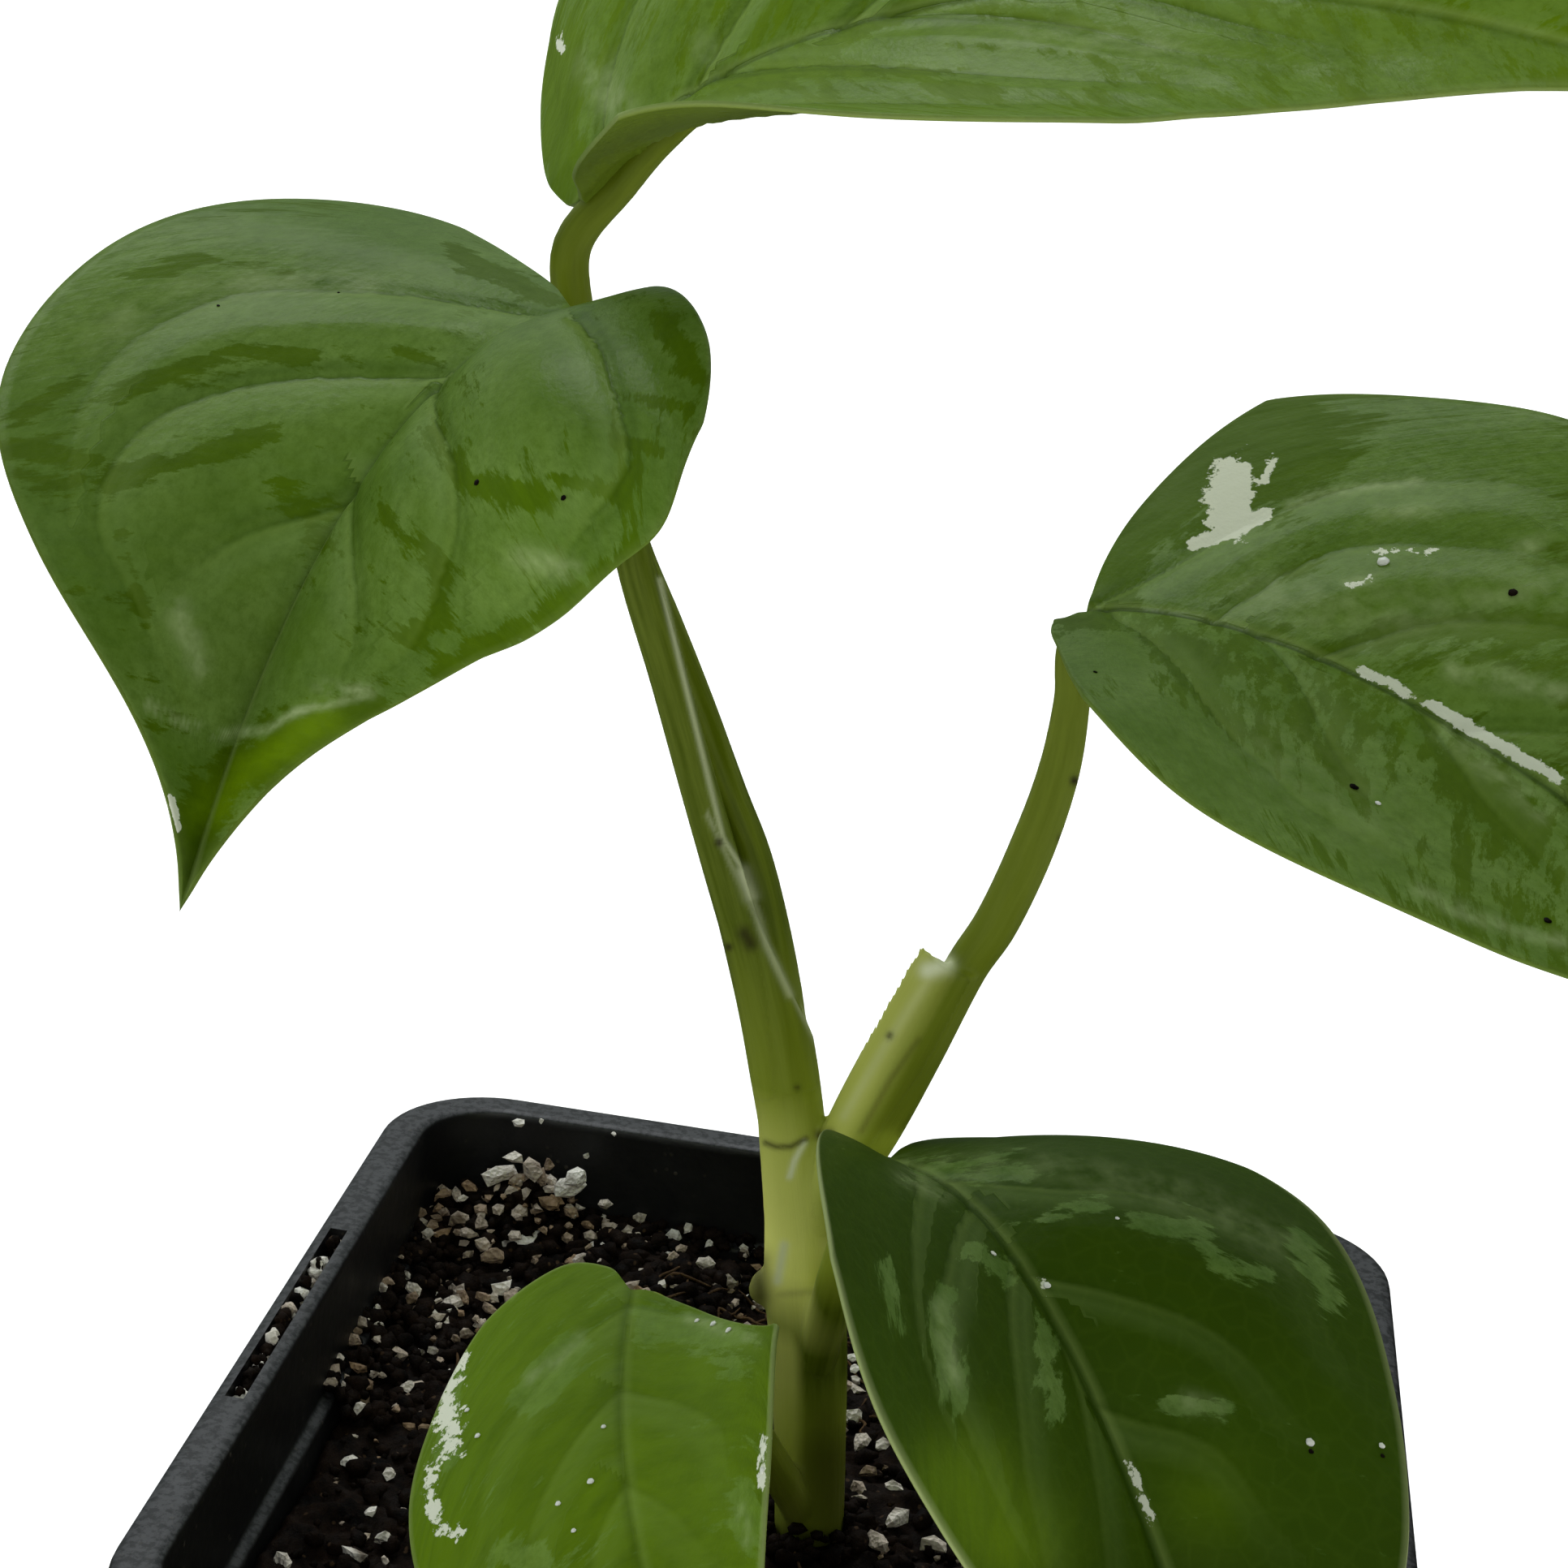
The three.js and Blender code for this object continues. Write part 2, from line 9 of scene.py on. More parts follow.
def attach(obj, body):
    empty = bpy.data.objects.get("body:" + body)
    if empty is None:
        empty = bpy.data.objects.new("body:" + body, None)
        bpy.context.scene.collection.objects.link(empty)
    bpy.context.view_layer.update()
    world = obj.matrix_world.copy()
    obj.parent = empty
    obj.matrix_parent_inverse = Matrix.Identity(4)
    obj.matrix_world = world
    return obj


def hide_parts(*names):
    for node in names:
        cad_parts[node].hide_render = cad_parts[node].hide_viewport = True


# A young monstera with five heart-shaped leaves in a square nursery pot. Sizes are millimetres, as in the
# CAD part, and a mesh is turned to metres when it is made.
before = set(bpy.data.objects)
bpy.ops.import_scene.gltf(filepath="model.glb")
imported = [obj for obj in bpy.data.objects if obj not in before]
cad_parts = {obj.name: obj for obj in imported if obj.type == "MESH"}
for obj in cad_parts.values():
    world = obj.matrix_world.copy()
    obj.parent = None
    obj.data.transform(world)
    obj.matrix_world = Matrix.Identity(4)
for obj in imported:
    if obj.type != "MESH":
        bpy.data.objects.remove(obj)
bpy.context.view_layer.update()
MM = 0.001

# Pot
POT_WIDTH = 90
POT_HEIGHT = 88
POT_CORNER = 10.3
BASE_WIDTH = 64
SMALLEST_CORNER = 5.5
CORNER_STEPS = 14
WALL = 1.1
FLOOR_THICKNESS = 2
RIM_WIDTH = 3.8
RIM_TOP = 1.4
RIM_SKIRT = 7
SHOULDER_DROP = 9.5
SHOULDER_STEP = 0.9
SLOT_LENGTH = 28.4
SLOT_WIDTH = 1.45
SLOT_DEPTH = 3.4
DRAIN_RADIUS = 2.6
DRAIN_SPREAD = 21
DRAINS = 8
GROOVE_DEPTH = 0.9
GROOVE_WIDTH = 4.4
GROOVE_HALF_LENGTH = 10

# Soil: its top, the low heap behind the plant, and the mound of grains in the left back corner
FIT_GAP = 0.3
SOIL_TOP = 77
HEAP = (-19, 33)
MOUND = (-32.5, 38.5)
SOIL_CELLS = 190

# How many crumbs of peat, fibres and grains of perlite lie where. The last grains lie on the heap up to a
# number and then all over the bed.
BED_CRUMBS = 1900
HEAP_CRUMBS = 260
WALL_CRUMBS = 520
MOUND_CRUMBS = 620
FOOT_CRUMBS = 150
FIBRES = 130
HEAP_FIBRES = 40
MOUND_GRAINS = 70
WALL_GRAINS = 130
GRAINS_UP_TO_HEAP = 480
GRAINS_IN_ALL = 900

# Stem: the line that it follows and its radii
STEM_LINE = [
    (0.6, -2.6, 60), (0.2, -2.6, 71), (-0.2, -2.5, 78), (-1.0, -2.2, 86), (-1.9, -1.8, 93),
    (-2.8, -1.5, 98), (-3.7, -1.0, 103.2), (-4.9, -0.4, 109),
]
STEM_RADII = [2.4, 2.5, 2.7, 2.8, 3.0, 3.1, 2.75, 2.6]
STEM_AT_SOIL = STEM_LINE[2][:2]

# Blades: the midrib's four control points and half width. Lobes, slant and curl are for the left and the
# right side, seen from the base looking to the tip. Roll and fold are for base and tip, in degrees. A low
# fullness rounds the outline out, and a high fold_ease lets the fold change early.
LEAVES = {
    "a": dict(
        midrib=[(-25.4, -8.0, 170.7), (-37.2, -14.8, 167.5), (-43.4, -19.5, 144.9), (-41.3, -37.7, 136.3)],
        half_width=29.2, lobes=(0.54, 0.1), slant=(0, 0), fullness=1.25, roll=(-6, 11),
        fold_left=(15, 54), fold_right=(6, 54), curl=(62, -4), fold_ease=1,
    ),
    "b": dict(
        midrib=[(-27.6, 3.2, 176.6), (-19.0, -0.1, 192.1), (11.2, -4.9, 201.3), (45.6, -11.8, 193.8)],
        half_width=27.2, lobes=(0.2, 0), slant=(0, 0.31), fullness=1.04, roll=(-30, -43),
        fold_left=(14, 6), fold_right=(19, 0), curl=(3, -37), fold_ease=1.65,
    ),
    "c": dict(
        midrib=[(11.4, -1.8, 153.3), (26.8, -5.9, 157.5), (45.4, -20.2, 149.7), (64.4, -34.0, 140.6)],
        half_width=26.7, lobes=(0.18, 0.61), slant=(0.11, 0.27), fullness=0.75, roll=(-14, -27),
        fold_left=(10, 23), fold_right=(16, 12), curl=(-4, -5), fold_ease=1,
    ),
    "d": dict(
        midrib=[(2.9, -11.7, 113.7), (14.8, -32.0, 124.6), (26.7, -38.1, 96.1), (32.5, -50.9, 91.1)],
        half_width=24.7, lobes=(0.94, 0.35), slant=(0, 0.37), fullness=0.75, roll=(3, -5),
        fold_left=(15, 38), fold_right=(23, 21), curl=(40, -6), fold_ease=1,
    ),
    "e": dict(
        midrib=[(-13.5, -19.3, 104.8), (-12.2, -36.8, 101.3), (-5.9, -50.9, 98.8), (2.2, -61.0, 91.5)],
        half_width=15.6, lobes=(0.35, 0.79), slant=(0.34, 0.11), fullness=0.84, roll=(-20, -42),
        fold_left=(-10, 23), fold_right=(2, 10), curl=(-52, 23), fold_ease=1,
    ),
}

# Half of a heart-shaped outline, base to tip, in shares of the length and the half width
HEART = [
    (0, 0), (-0.1, 0.09), (-0.17, 0.33), (-0.12, 0.68), (0.06, 0.94), (0.27, 1), (0.49, 0.87),
    (0.69, 0.59), (0.85, 0.28), (0.945, 0.095), (1, 0),
]
BLADE_THICKNESS = 0.6
MARGIN_THICKNESS = 0.34
MARGIN_BEAD = 0.12
KEEL_HEIGHT = 0.9
KEEL_WIDTH = 0.85
SIDE_KEEL_HEIGHT = 0.22
RIB_ROWS = 190
HALF_COLUMNS = 42

# Relief of a blade, heights and widths: it bulges between its side veins, and sinks along them and along
# its midrib
BULGE = (0.9, 3.4)
VEIN_GROOVE = (0.28, 0.55)
MIDRIB_GROOVE = (0.22, 0.7)

# Side veins that stand out on each blade, as (along, across) points. Across is below 0 on the left side.
SIDE_VEINS = {
    "a": [
        [
            (0.02, 0), (0.09, 0.2), (0.16, 0.4), (0.23, 0.55), (0.29, 0.66), (0.38, 0.71), (0.47, 0.68),
            (0.6, 0.55),
        ],
        [(0.23, 0.04), (0.33, 0.31), (0.42, 0.47), (0.5, 0.52), (0.6, 0.48), (0.69, 0.31), (0.78, 0.14)],
        [
            (0.04, -0.24), (0.07, -0.54), (0.14, -0.81), (0.22, -0.87), (0.33, -0.86), (0.42, -0.82),
            (0.54, -0.69),
        ],
        [(0.24, 0), (0.29, -0.23), (0.34, -0.43), (0.4, -0.52), (0.47, -0.54), (0.62, -0.48), (0.68, -0.4)],
        [(0.42, 0), (0.5, -0.18), (0.6, -0.3), (0.7, -0.3)],
        [(0.44, 0), (0.53, 0.17), (0.62, 0.26)],
    ],
    "b": [
        [(0.1, 0), (0.22, 0.25), (0.35, 0.5), (0.5, 0.62), (0.64, 0.56)],
        [(0.24, 0), (0.37, 0.2), (0.49, 0.36), (0.59, 0.42), (0.68, 0.4)],
        [(0.42, 0), (0.56, 0.12), (0.66, 0.24), (0.75, 0.26)],
        [(0.6, 0), (0.7, 0.11), (0.79, 0.17)],
        [(0.04, 0), (0.09, -0.35), (0.18, -0.65), (0.32, -0.78)],
        [(0.2, 0), (0.3, -0.32), (0.42, -0.55), (0.55, -0.6)],
        [(0.37, 0), (0.47, -0.22), (0.58, -0.38), (0.7, -0.38)],
        [(0.55, 0), (0.64, -0.14), (0.74, -0.22)],
    ],
    "c": [
        [(0, 0), (0.08, -0.18), (0.15, -0.41), (0.23, -0.62), (0.29, -0.69), (0.38, -0.76), (0.5, -0.72)],
        [(0.18, 0), (0.24, -0.32), (0.29, -0.43), (0.36, -0.5), (0.45, -0.57), (0.58, -0.54)],
        [(0.32, 0), (0.39, -0.23), (0.45, -0.34), (0.53, -0.43), (0.63, -0.42)],
        [(0.5, 0), (0.57, -0.14), (0.66, -0.24)],
        [
            (0.03, 0), (0.09, 0.16), (0.3, 0.52), (0.37, 0.62), (0.44, 0.66), (0.51, 0.68), (0.62, 0.61),
            (0.7, 0.51),
        ],
        [(0.24, 0), (0.31, 0.11), (0.42, 0.34), (0.47, 0.43), (0.54, 0.5), (0.64, 0.48)],
        [(0.46, 0.02), (0.52, 0.11), (0.59, 0.21), (0.71, 0.29)],
        [(0.63, 0), (0.7, 0.09), (0.77, 0.14)],
    ],
    "d": [
        [(0.11, 0), (0.2, -0.25), (0.24, -0.45), (0.34, -0.74), (0.39, -0.78), (0.5, -0.74)],
        [(0.3, 0), (0.37, -0.22), (0.45, -0.42), (0.56, -0.52)],
        [(0.47, 0), (0.5, -0.09), (0.56, -0.27), (0.66, -0.34)],
        [(0.05, 0), (0.17, 0.19), (0.32, 0.53), (0.4, 0.68), (0.47, 0.72), (0.54, 0.69)],
        [(0.18, 0), (0.31, 0.36), (0.37, 0.54), (0.44, 0.64), (0.58, 0.61), (0.66, 0.5)],
        [(0.27, 0), (0.36, 0.19), (0.45, 0.34), (0.54, 0.46), (0.66, 0.52)],
        [(0.37, 0), (0.46, 0.06), (0.56, 0.16), (0.68, 0.28)],
    ],
    "e": [
        [(0.03, 0), (0.08, -0.3), (0.17, -0.6), (0.3, -0.75)],
        [(0.2, 0), (0.28, -0.3), (0.4, -0.52), (0.52, -0.56)],
        [(0.38, 0), (0.47, -0.2), (0.6, -0.36)],
        [(0.03, 0), (0.12, 0.3), (0.24, 0.58), (0.38, 0.7)],
        [(0.2, 0), (0.3, 0.26), (0.42, 0.46), (0.55, 0.5)],
        [(0.38, 0), (0.48, 0.18), (0.62, 0.32)],
    ],
}

# Petioles: the line that each follows and its radii. Each ends in two or three points of its blade's keel.
PETIOLES = {
    "a": (
        [(-5.5, -0.7, 109.7), (-8.6, -1.2, 120.6), (-12.4, -2.0, 131.2), (-14.4, -2.6, 136.8),
         (-17.3, -3.6, 145.2), (-19.8, -4.6, 152.2), (-22.2, -5.6, 160.5), (-24.3, -7.0, 167.4)],
        [1.5, 1.5, 1.45, 1.4, 1.35, 1.35, 1.3, 1.3],
    ),
    "b": (
        [(-4.5, 0.3, 109.7), (-7.0, 1.0, 120.6), (-10.3, 1.5, 130.3), (-12.7, 1.8, 135.0),
         (-15.8, 2.2, 141.3), (-18.8, 2.6, 147.0), (-21.8, 3.0, 152.5), (-25.1, 3.2, 161.1),
         (-27.4, 3.3, 168.7), (-27.9, 3.3, 173.5)],
        [1.2, 1.35, 1.4, 1.4, 1.4, 1.4, 1.4, 1.42, 1.45, 1.4],
    ),
    "c": (
        [(-3.0, -1.4, 101), (-1.2, -1.5, 106.2), (1.3, -1.6, 111.6), (3.8, -1.8, 118.3),
         (6.4, -2.0, 125.9), (8.0, -2.0, 129.3), (9.9, -2.1, 135.6), (11.1, -2.1, 141.9),
         (11.3, -2.1, 147.1), (11.1, -2.0, 151.2)],
        [1.6, 1.8, 1.75, 1.65, 1.6, 1.65, 1.65, 1.5, 1.3, 1.25],
    ),
    "d": (
        [(-1.4, -2.2, 89.5), (-0.6, -4.7, 97), (0.6, -7.6, 105.5), (1.9, -10.2, 111)],
        [1.5, 1.6, 1.45, 1.3],
    ),
    "e": (
        [(-0.3, -2.8, 78.4), (-3.7, -8.6, 87.4), (-8.4, -13.6, 97.1), (-12.3, -17.2, 102.6)],
        [1.4, 1.4, 1.3, 1.15],
    ),
}

# The sheath of petiole a wraps the foot of petiole b up to a slanting margin. That of petiole c is an open
# channel with a blunt end.
SHEATH_A = (
    [(-5.0, -0.2, 109.7), (-6.2, -0.2, 114.5), (-7.8, -0.3, 120.4), (-10.9, -0.6, 130), (-12.6, -0.9, 135)],
    [2.5, 2.6, 2.6, 2.6, 2.6],
)
MARGIN_POINT = (-8.8, -2.5, 126.6)
MARGIN_SLOPE = (0.83, 0.24, 0.48)
SHEATH_C = (
    [(-2.6, -1.3, 103.5), (-1.3, -1.4, 107.6), (0.1, -1.5, 112), (2.4, -1.8, 118.3), (5.3, -2.0, 126.4)],
    [2.2, 2.35, 2.5, 2.65, 2.6],
)
CHANNEL_C = ([(-0.5, -0.7, 112.5), (1.7, -1.1, 118.5), (4.9, -1.3, 128)], [1.1, 1.9, 2.0])
BUD = dict(middle=(-5.6, -1.6, 97.4), size=(1.1, 0.9, 1.6))

# The stalks are grown together in cells of this size
VOXEL = 0.26

# Camera: where it stands, its turns in degrees, its lens and its square film, and the photograph's pixels
EYE = (14.05, -211.2, 208.7)
LOOK_DOWN = 18.64
LEAN = 6.1
TURN = -6.11
LENS = 70.81
FILM_WIDTH = 36
PHOTO_SIZE = 1932
PHOTO_MIDDLE = PHOTO_SIZE / 2
FOCAL_PIXELS = LENS / FILM_WIDTH * PHOTO_SIZE


# Small helpers

def lerp(a, b, t):
    """From a to b, for a share of the way."""
    return a + (b - a) * t


def linear(colour):
    """An sRGB hex colour as linear red, green, blue and 1."""
    parts = [int(colour[k:k + 2], 16) / 255 for k in (1, 3, 5)]
    return [c / 12.92 if c <= 0.04045 else ((c + 0.055) / 1.055) ** 2.4 for c in parts] + [1]


def set_node(tree, node, settings, links):
    """Settings go to a node's sockets or else to the node itself, and a hex colour is turned to linear.
    Links come from another node's first output or from a socket."""
    for name, value in (settings or {}).items():
        if isinstance(value, str) and value.startswith("#"):
            value = linear(value)
        if isinstance(name, str) and hasattr(node, name):
            setattr(node, name, value)
        else:
            node.inputs[name].default_value = value
    for name, source in (links or {}).items():
        if isinstance(source, bpy.types.Node):
            source = next(socket for socket in source.outputs if socket.enabled)
        tree.links.new(source, node.inputs[name])
    return node


def add_node(tree, kind, settings=None, links=None):
    """Adds a node with its settings and its links."""
    return set_node(tree, tree.nodes.new(kind), settings, links)


def new_material(name):
    """A material with only its principled shader, and its node tree and shader."""
    material = bpy.data.materials.new(name)
    material.use_nodes = True
    tree = material.node_tree
    return material, tree, next(n for n in tree.nodes if n.type == "BSDF_PRINCIPLED")


def make_mesh(name, points, faces):
    """A mesh in metres from points in millimetres."""
    mesh = bpy.data.meshes.new(name)
    mesh.from_pydata((np.asarray(points, float) * MM).tolist(), [], [list(map(int, f)) for f in faces])
    mesh.validate()
    return mesh


def add_values(mesh, name, values):
    """Keeps one number, or one vector, for each point of the mesh under a name that its material reads."""
    values = np.asarray(values, np.float32)
    if values.ndim == 1:
        mesh.attributes.new(name, "FLOAT", "POINT").data.foreach_set("value", values)
    else:
        mesh.attributes.new(name, "FLOAT_VECTOR", "POINT").data.foreach_set("vector", values.ravel())


def add_piece(name, mesh, material, node, crease=None):
    """The mesh as a piece of the pot or plant: smooth, dressed, and standing for its CAD node."""
    piece = bpy.data.objects.new(name, mesh)
    bpy.context.scene.collection.objects.link(piece)
    mesh.polygons.foreach_set("use_smooth", [True] * len(mesh.polygons))
    if crease:
        mesh.set_sharp_from_angle(angle=math.radians(crease))
    mesh.materials.clear()
    mesh.materials.append(material)
    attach(piece, "root")
    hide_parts(node)


def unit(vectors):
    """The vectors with a length of 1."""
    return vectors / np.maximum(np.linalg.norm(vectors, axis=-1, keepdims=True), 1e-12)


def smooth_line(points, steps, even=False):
    """A Catmull-Rom curve through the points, centripetal or even, as steps + 1 points and tangents."""
    p = np.array(points, float)
    p = np.vstack([2 * p[0] - p[1], p, 2 * p[-1] - p[-2]])
    place = np.linspace(0, len(points) - 1, steps + 1)
    k = np.minimum(place.astype(int), len(points) - 2)
    w = (place - k)[:, None]
    a, b, c, d = p[k], p[k + 1], p[k + 2], p[k + 3]
    power = 0 if even else 0.5
    before, here, after = (
        np.linalg.norm(v - u, axis=1)[:, None] ** power for u, v in ((a, b), (b, c), (c, d))
    )
    start = ((b - a) / before - (c - a) / (before + here) + (c - b) / here) * here
    end = ((c - b) / here - (d - b) / (here + after) + (d - c) / after) * here
    cubic = 2 * b - 2 * c + start + end
    square = -3 * b + 3 * c - 2 * start - end
    return ((cubic * w + square) * w + start) * w + b, unit((3 * cubic * w + 2 * square) * w + start)


def stalk_path(line, radii, steps):
    """Points, two cross directions and radii along a stalk."""
    points, tangents = smooth_line(line, steps)
    across = np.array([1.0, 0, 0])
    sides = []
    for tangent in tangents:
        across = unit(across - tangent * (across @ tangent))
        sides.append(across)
    sides = np.array(sides)
    place = np.linspace(0, len(radii) - 1, steps + 1)
    return points, sides, np.cross(tangents, sides), np.interp(place, np.arange(len(radii)), radii)


def add_tube(shape, rings):
    """Adds a closed tube to a bmesh, from rings of points."""
    rings = [[shape.verts.new(p) for p in ring] for ring in rings]
    sides = len(rings[0])
    for low, high in zip(rings, rings[1:]):
        for k in range(sides):
            n = (k + 1) % sides
            shape.faces.new((low[k], low[n], high[n], high[k]))
    shape.faces.new(rings[0][::-1])
    shape.faces.new(rings[-1])


def add_stalk(shape, line, radii, sides=24, steps=60):
    """Adds a closed tapering stalk to a bmesh."""
    angles = np.linspace(0, 2 * math.pi, sides, endpoint=False)
    add_tube(shape, [
        [p + r * (u * math.cos(t) + v * math.sin(t)) for t in angles]
        for p, u, v, r in zip(*stalk_path(line, radii, steps))
    ])


def rock_points(seed, detail, roughness):
    """An uneven round lump, about 1 in radius, as points and triangles."""
    shape = bmesh.new()
    bmesh.ops.create_icosphere(shape, subdivisions=detail, radius=1)
    points = np.array([v.co[:] for v in shape.verts])
    faces = np.array([[v.index for v in f.verts] for f in shape.faces])
    shape.free()
    shift = Vector((seed * 7.3, seed * 1.9, -seed * 3.1))
    swell = [
        0.45 * noise.noise(Vector(p) * 1.1 + shift) + roughness * noise.noise(Vector(p) * 3.1 + shift)
        for p in points
    ]
    return points * (1 + np.array(swell))[:, None], faces


def turned(points, draw):
    """The points turned by random angles, about X and then about Z."""
    turn = Matrix.Rotation(draw.uniform(0, 6.28), 3, "Z") @ Matrix.Rotation(draw.uniform(0, 3.14), 3, "X")
    return points @ np.array(turn).T


def gather(lumps):
    """Several (points, faces) as one."""
    points, faces, count = [], [], 0
    for p, f in lumps:
        points.append(p)
        faces.append(np.asarray(f) + count)
        count += len(p)
    return np.vstack(points), np.vstack(faces)


# Camera, lights, floor

def camera_axes():
    """Right, up and forward of the camera in the part's frame."""
    down, lean, turn = (math.radians(x) for x in (LOOK_DOWN, LEAN, TURN))
    forward = np.array([0, math.cos(down), -math.sin(down)])
    up = np.array([0, math.sin(down), math.cos(down)])
    right = np.array([1.0, 0, 0])
    leaned_right = math.cos(lean) * right + math.sin(lean) * up
    leaned_up = -math.sin(lean) * right + math.cos(lean) * up
    c, s = math.cos(turn), math.sin(turn)
    spin = np.array([[c, s, 0], [-s, c, 0], [0, 0, 1]])
    return spin @ leaned_right, spin @ leaned_up, spin @ forward


def add_camera():
    """The photograph's camera, with its place, lens and lean."""
    right, up, forward = camera_axes()
    data = bpy.data.cameras.new("camera")
    data.lens = LENS
    data.sensor_width = FILM_WIDTH
    data.clip_start = 0.01
    data.clip_end = 50
    camera = bpy.data.objects.new("camera", data)
    bpy.context.scene.collection.objects.link(camera)
    axes = Matrix([list(right), list(up), list(-forward)]).transposed()
    camera.matrix_world = Matrix.Translation(Vector(EYE) * MM) @ axes.to_4x4()
    bpy.context.scene.camera = camera


def seen_at(px, py, value, axis=2):
    """The point that the photograph shows at a pixel, where one coordinate is known."""
    right, up, forward = camera_axes()
    ray = forward + right * (px - PHOTO_MIDDLE) / FOCAL_PIXELS - up * (py - PHOTO_MIDDLE) / FOCAL_PIXELS
    return np.array(EYE) + ray * (value - EYE[axis]) / ray[axis]


def photo_pixels(points):
    """Where the photograph shows each point."""
    right, up, forward = camera_axes()
    off = np.asarray(points) - np.array(EYE)
    scale = FOCAL_PIXELS / (off @ forward)
    return np.stack([PHOTO_MIDDLE + (off @ right) * scale, PHOTO_MIDDLE - (off @ up) * scale], -1)


def stroked(pixels, strokes):
    """How strongly each pixel is marked by brush strokes. A stroke is its strength, half width and line,
    all in pixels of the photograph."""
    value = np.zeros(pixels.shape[:-1])
    for strength, width, line in strokes:
        gap = np.full(value.shape, 1e9)
        for a, b in zip(line, line[1:] or line):
            a, b = np.array(a, float), np.array(b, float)
            share = np.clip(((pixels - a) @ (b - a)) / max((b - a) @ (b - a), 1), 0, 1)
            gap = np.minimum(gap, np.linalg.norm(pixels - a - share[..., None] * (b - a), axis=-1))
        value = np.maximum(value, strength * np.exp(-(gap / width) ** 2))
    return value


def add_light(name, place, aim, size, power, colour):
    """A round soft light, with place, aim and size in metres."""
    data = bpy.data.lights.new(name, "AREA")
    data.shape = "DISK"
    data.size = size
    data.energy = power
    data.color = linear(colour)[:3]
    lamp = bpy.data.objects.new(name, data)
    bpy.context.scene.collection.objects.link(lamp)
    lamp.location = place
    lamp.rotation_mode = "QUATERNION"
    lamp.rotation_quaternion = (Vector(aim) - Vector(place)).to_track_quat("-Z", "Y")


def add_floor():
    """A pale paper floor that runs up behind, with a faint mottle about 60 mm wide. It is lit from below as
    a light table is, so that it is nearly white, and the leaves and the pot don't mirror it."""
    material, tree, shader = new_material("lit_white_paper")
    fibre = add_node(tree, "ShaderNodeTexNoise", {"Scale": 300.0, "Detail": 4.0})
    tone = add_node(tree, "ShaderNodeValToRGB", links={"Fac": fibre})
    for element, colour in zip(tone.color_ramp.elements, ("#f2f2f0", "#fbfbfa")):
        element.color = linear(colour)
    constants = {"Roughness": 0.9, "Emission Strength": 0.62}
    set_node(tree, shader, constants, {"Base Color": tone, "Emission Color": tone})
    # Sizes in metres. The floor lies a little below the pot's foot, so that they share no face
    front, side, back, rise, bend, drop = -18.0, 8.0, 1.6, 2.6, 0.7, 0.0006
    line = [(front, 0.0), (back - bend, 0.0)]
    for k in range(1, 17):
        angle = k / 16 * math.pi / 2
        line.append((back - bend + bend * math.sin(angle), bend - bend * math.cos(angle)))
    line.append((back, rise))
    points = [(x, y, z - drop) for y, z in line for x in (-side, side)]
    faces = [(2 * k, 2 * k + 1, 2 * k + 3, 2 * k + 2) for k in range(len(line) - 1)]
    mesh = bpy.data.meshes.new("floor")
    mesh.from_pydata(points, [], faces)
    mesh.polygons.foreach_set("use_smooth", [True] * len(mesh.polygons))
    mesh.materials.append(material)
    floor = bpy.data.objects.new("floor", mesh)
    bpy.context.scene.collection.objects.link(floor)
    floor.visible_glossy = False


def add_sky():
    """Soft light from all round, brightest overhead and a little to the left, and faint from below."""
    world = bpy.data.worlds.new("soft_studio")
    world.use_nodes = True
    bpy.context.scene.world = world
    tree = world.node_tree
    backdrop = next(n for n in tree.nodes if n.type == "BACKGROUND")
    direction = add_node(tree, "ShaderNodeTexCoord").outputs["Generated"]
    brightest = {"operation": "DOT_PRODUCT", 1: (-0.34, 0.12, 0.93)}
    tilted = add_node(tree, "ShaderNodeVectorMath", brightest, {0: direction})
    height = add_node(tree, "ShaderNodeMapRange", {1: -1.0}, {0: tilted.outputs["Value"]})
    sky = add_node(tree, "ShaderNodeValToRGB", links={"Fac": height})
    elements = sky.color_ramp.elements
    elements[0].position, elements[0].color = 0.5, linear("#2b2d2b")
    elements[1].position, elements[1].color = 1.0, linear("#c2cbcf")
    for position, colour in ((0.6, "#565b55"), (0.72, "#8f9897"), (0.86, "#b2bbbb")):
        elements.new(position).color = linear(colour)
    tree.links.new(sky.outputs[0], backdrop.inputs["Color"])


def add_lights():
    """A soft light above, behind and left of the plant, and a wider one in front to fill the shade."""
    middle = Vector((0, 0, 0.12))
    add_light("softbox", middle + Vector((-0.287, 0.5, 0.82)) * 1.5, middle, 0.75, 4.5, "#fbfdff")
    add_light("front_fill", middle + Vector((0.25, -0.85, 0.42)) * 1.6, middle, 1.1, 4, "#fffdf6")
    bpy.context.scene.view_settings.view_transform = "Standard"


# Materials. Some sockets go by number. 0 is what a range or a sum reads, and a mix's share. 1 and 2 are the
# lower and upper end of a range, and 3 and 4 what it gives there. 6 and 7 are a mix's two colours.

def line_beside(tree, distance, middle, half_width, strength):
    """A soft line, at a place and with a half width in millimetres, of a strength from 0 to 1."""
    off = add_node(tree, "ShaderNodeMath", {"operation": "SUBTRACT", 1: middle}, {0: distance})
    away = add_node(tree, "ShaderNodeMath", {"operation": "ABSOLUTE"}, {0: off})
    return add_node(tree, "ShaderNodeMapRange", {2: half_width, 3: strength, 4: 0.0}, {0: away})


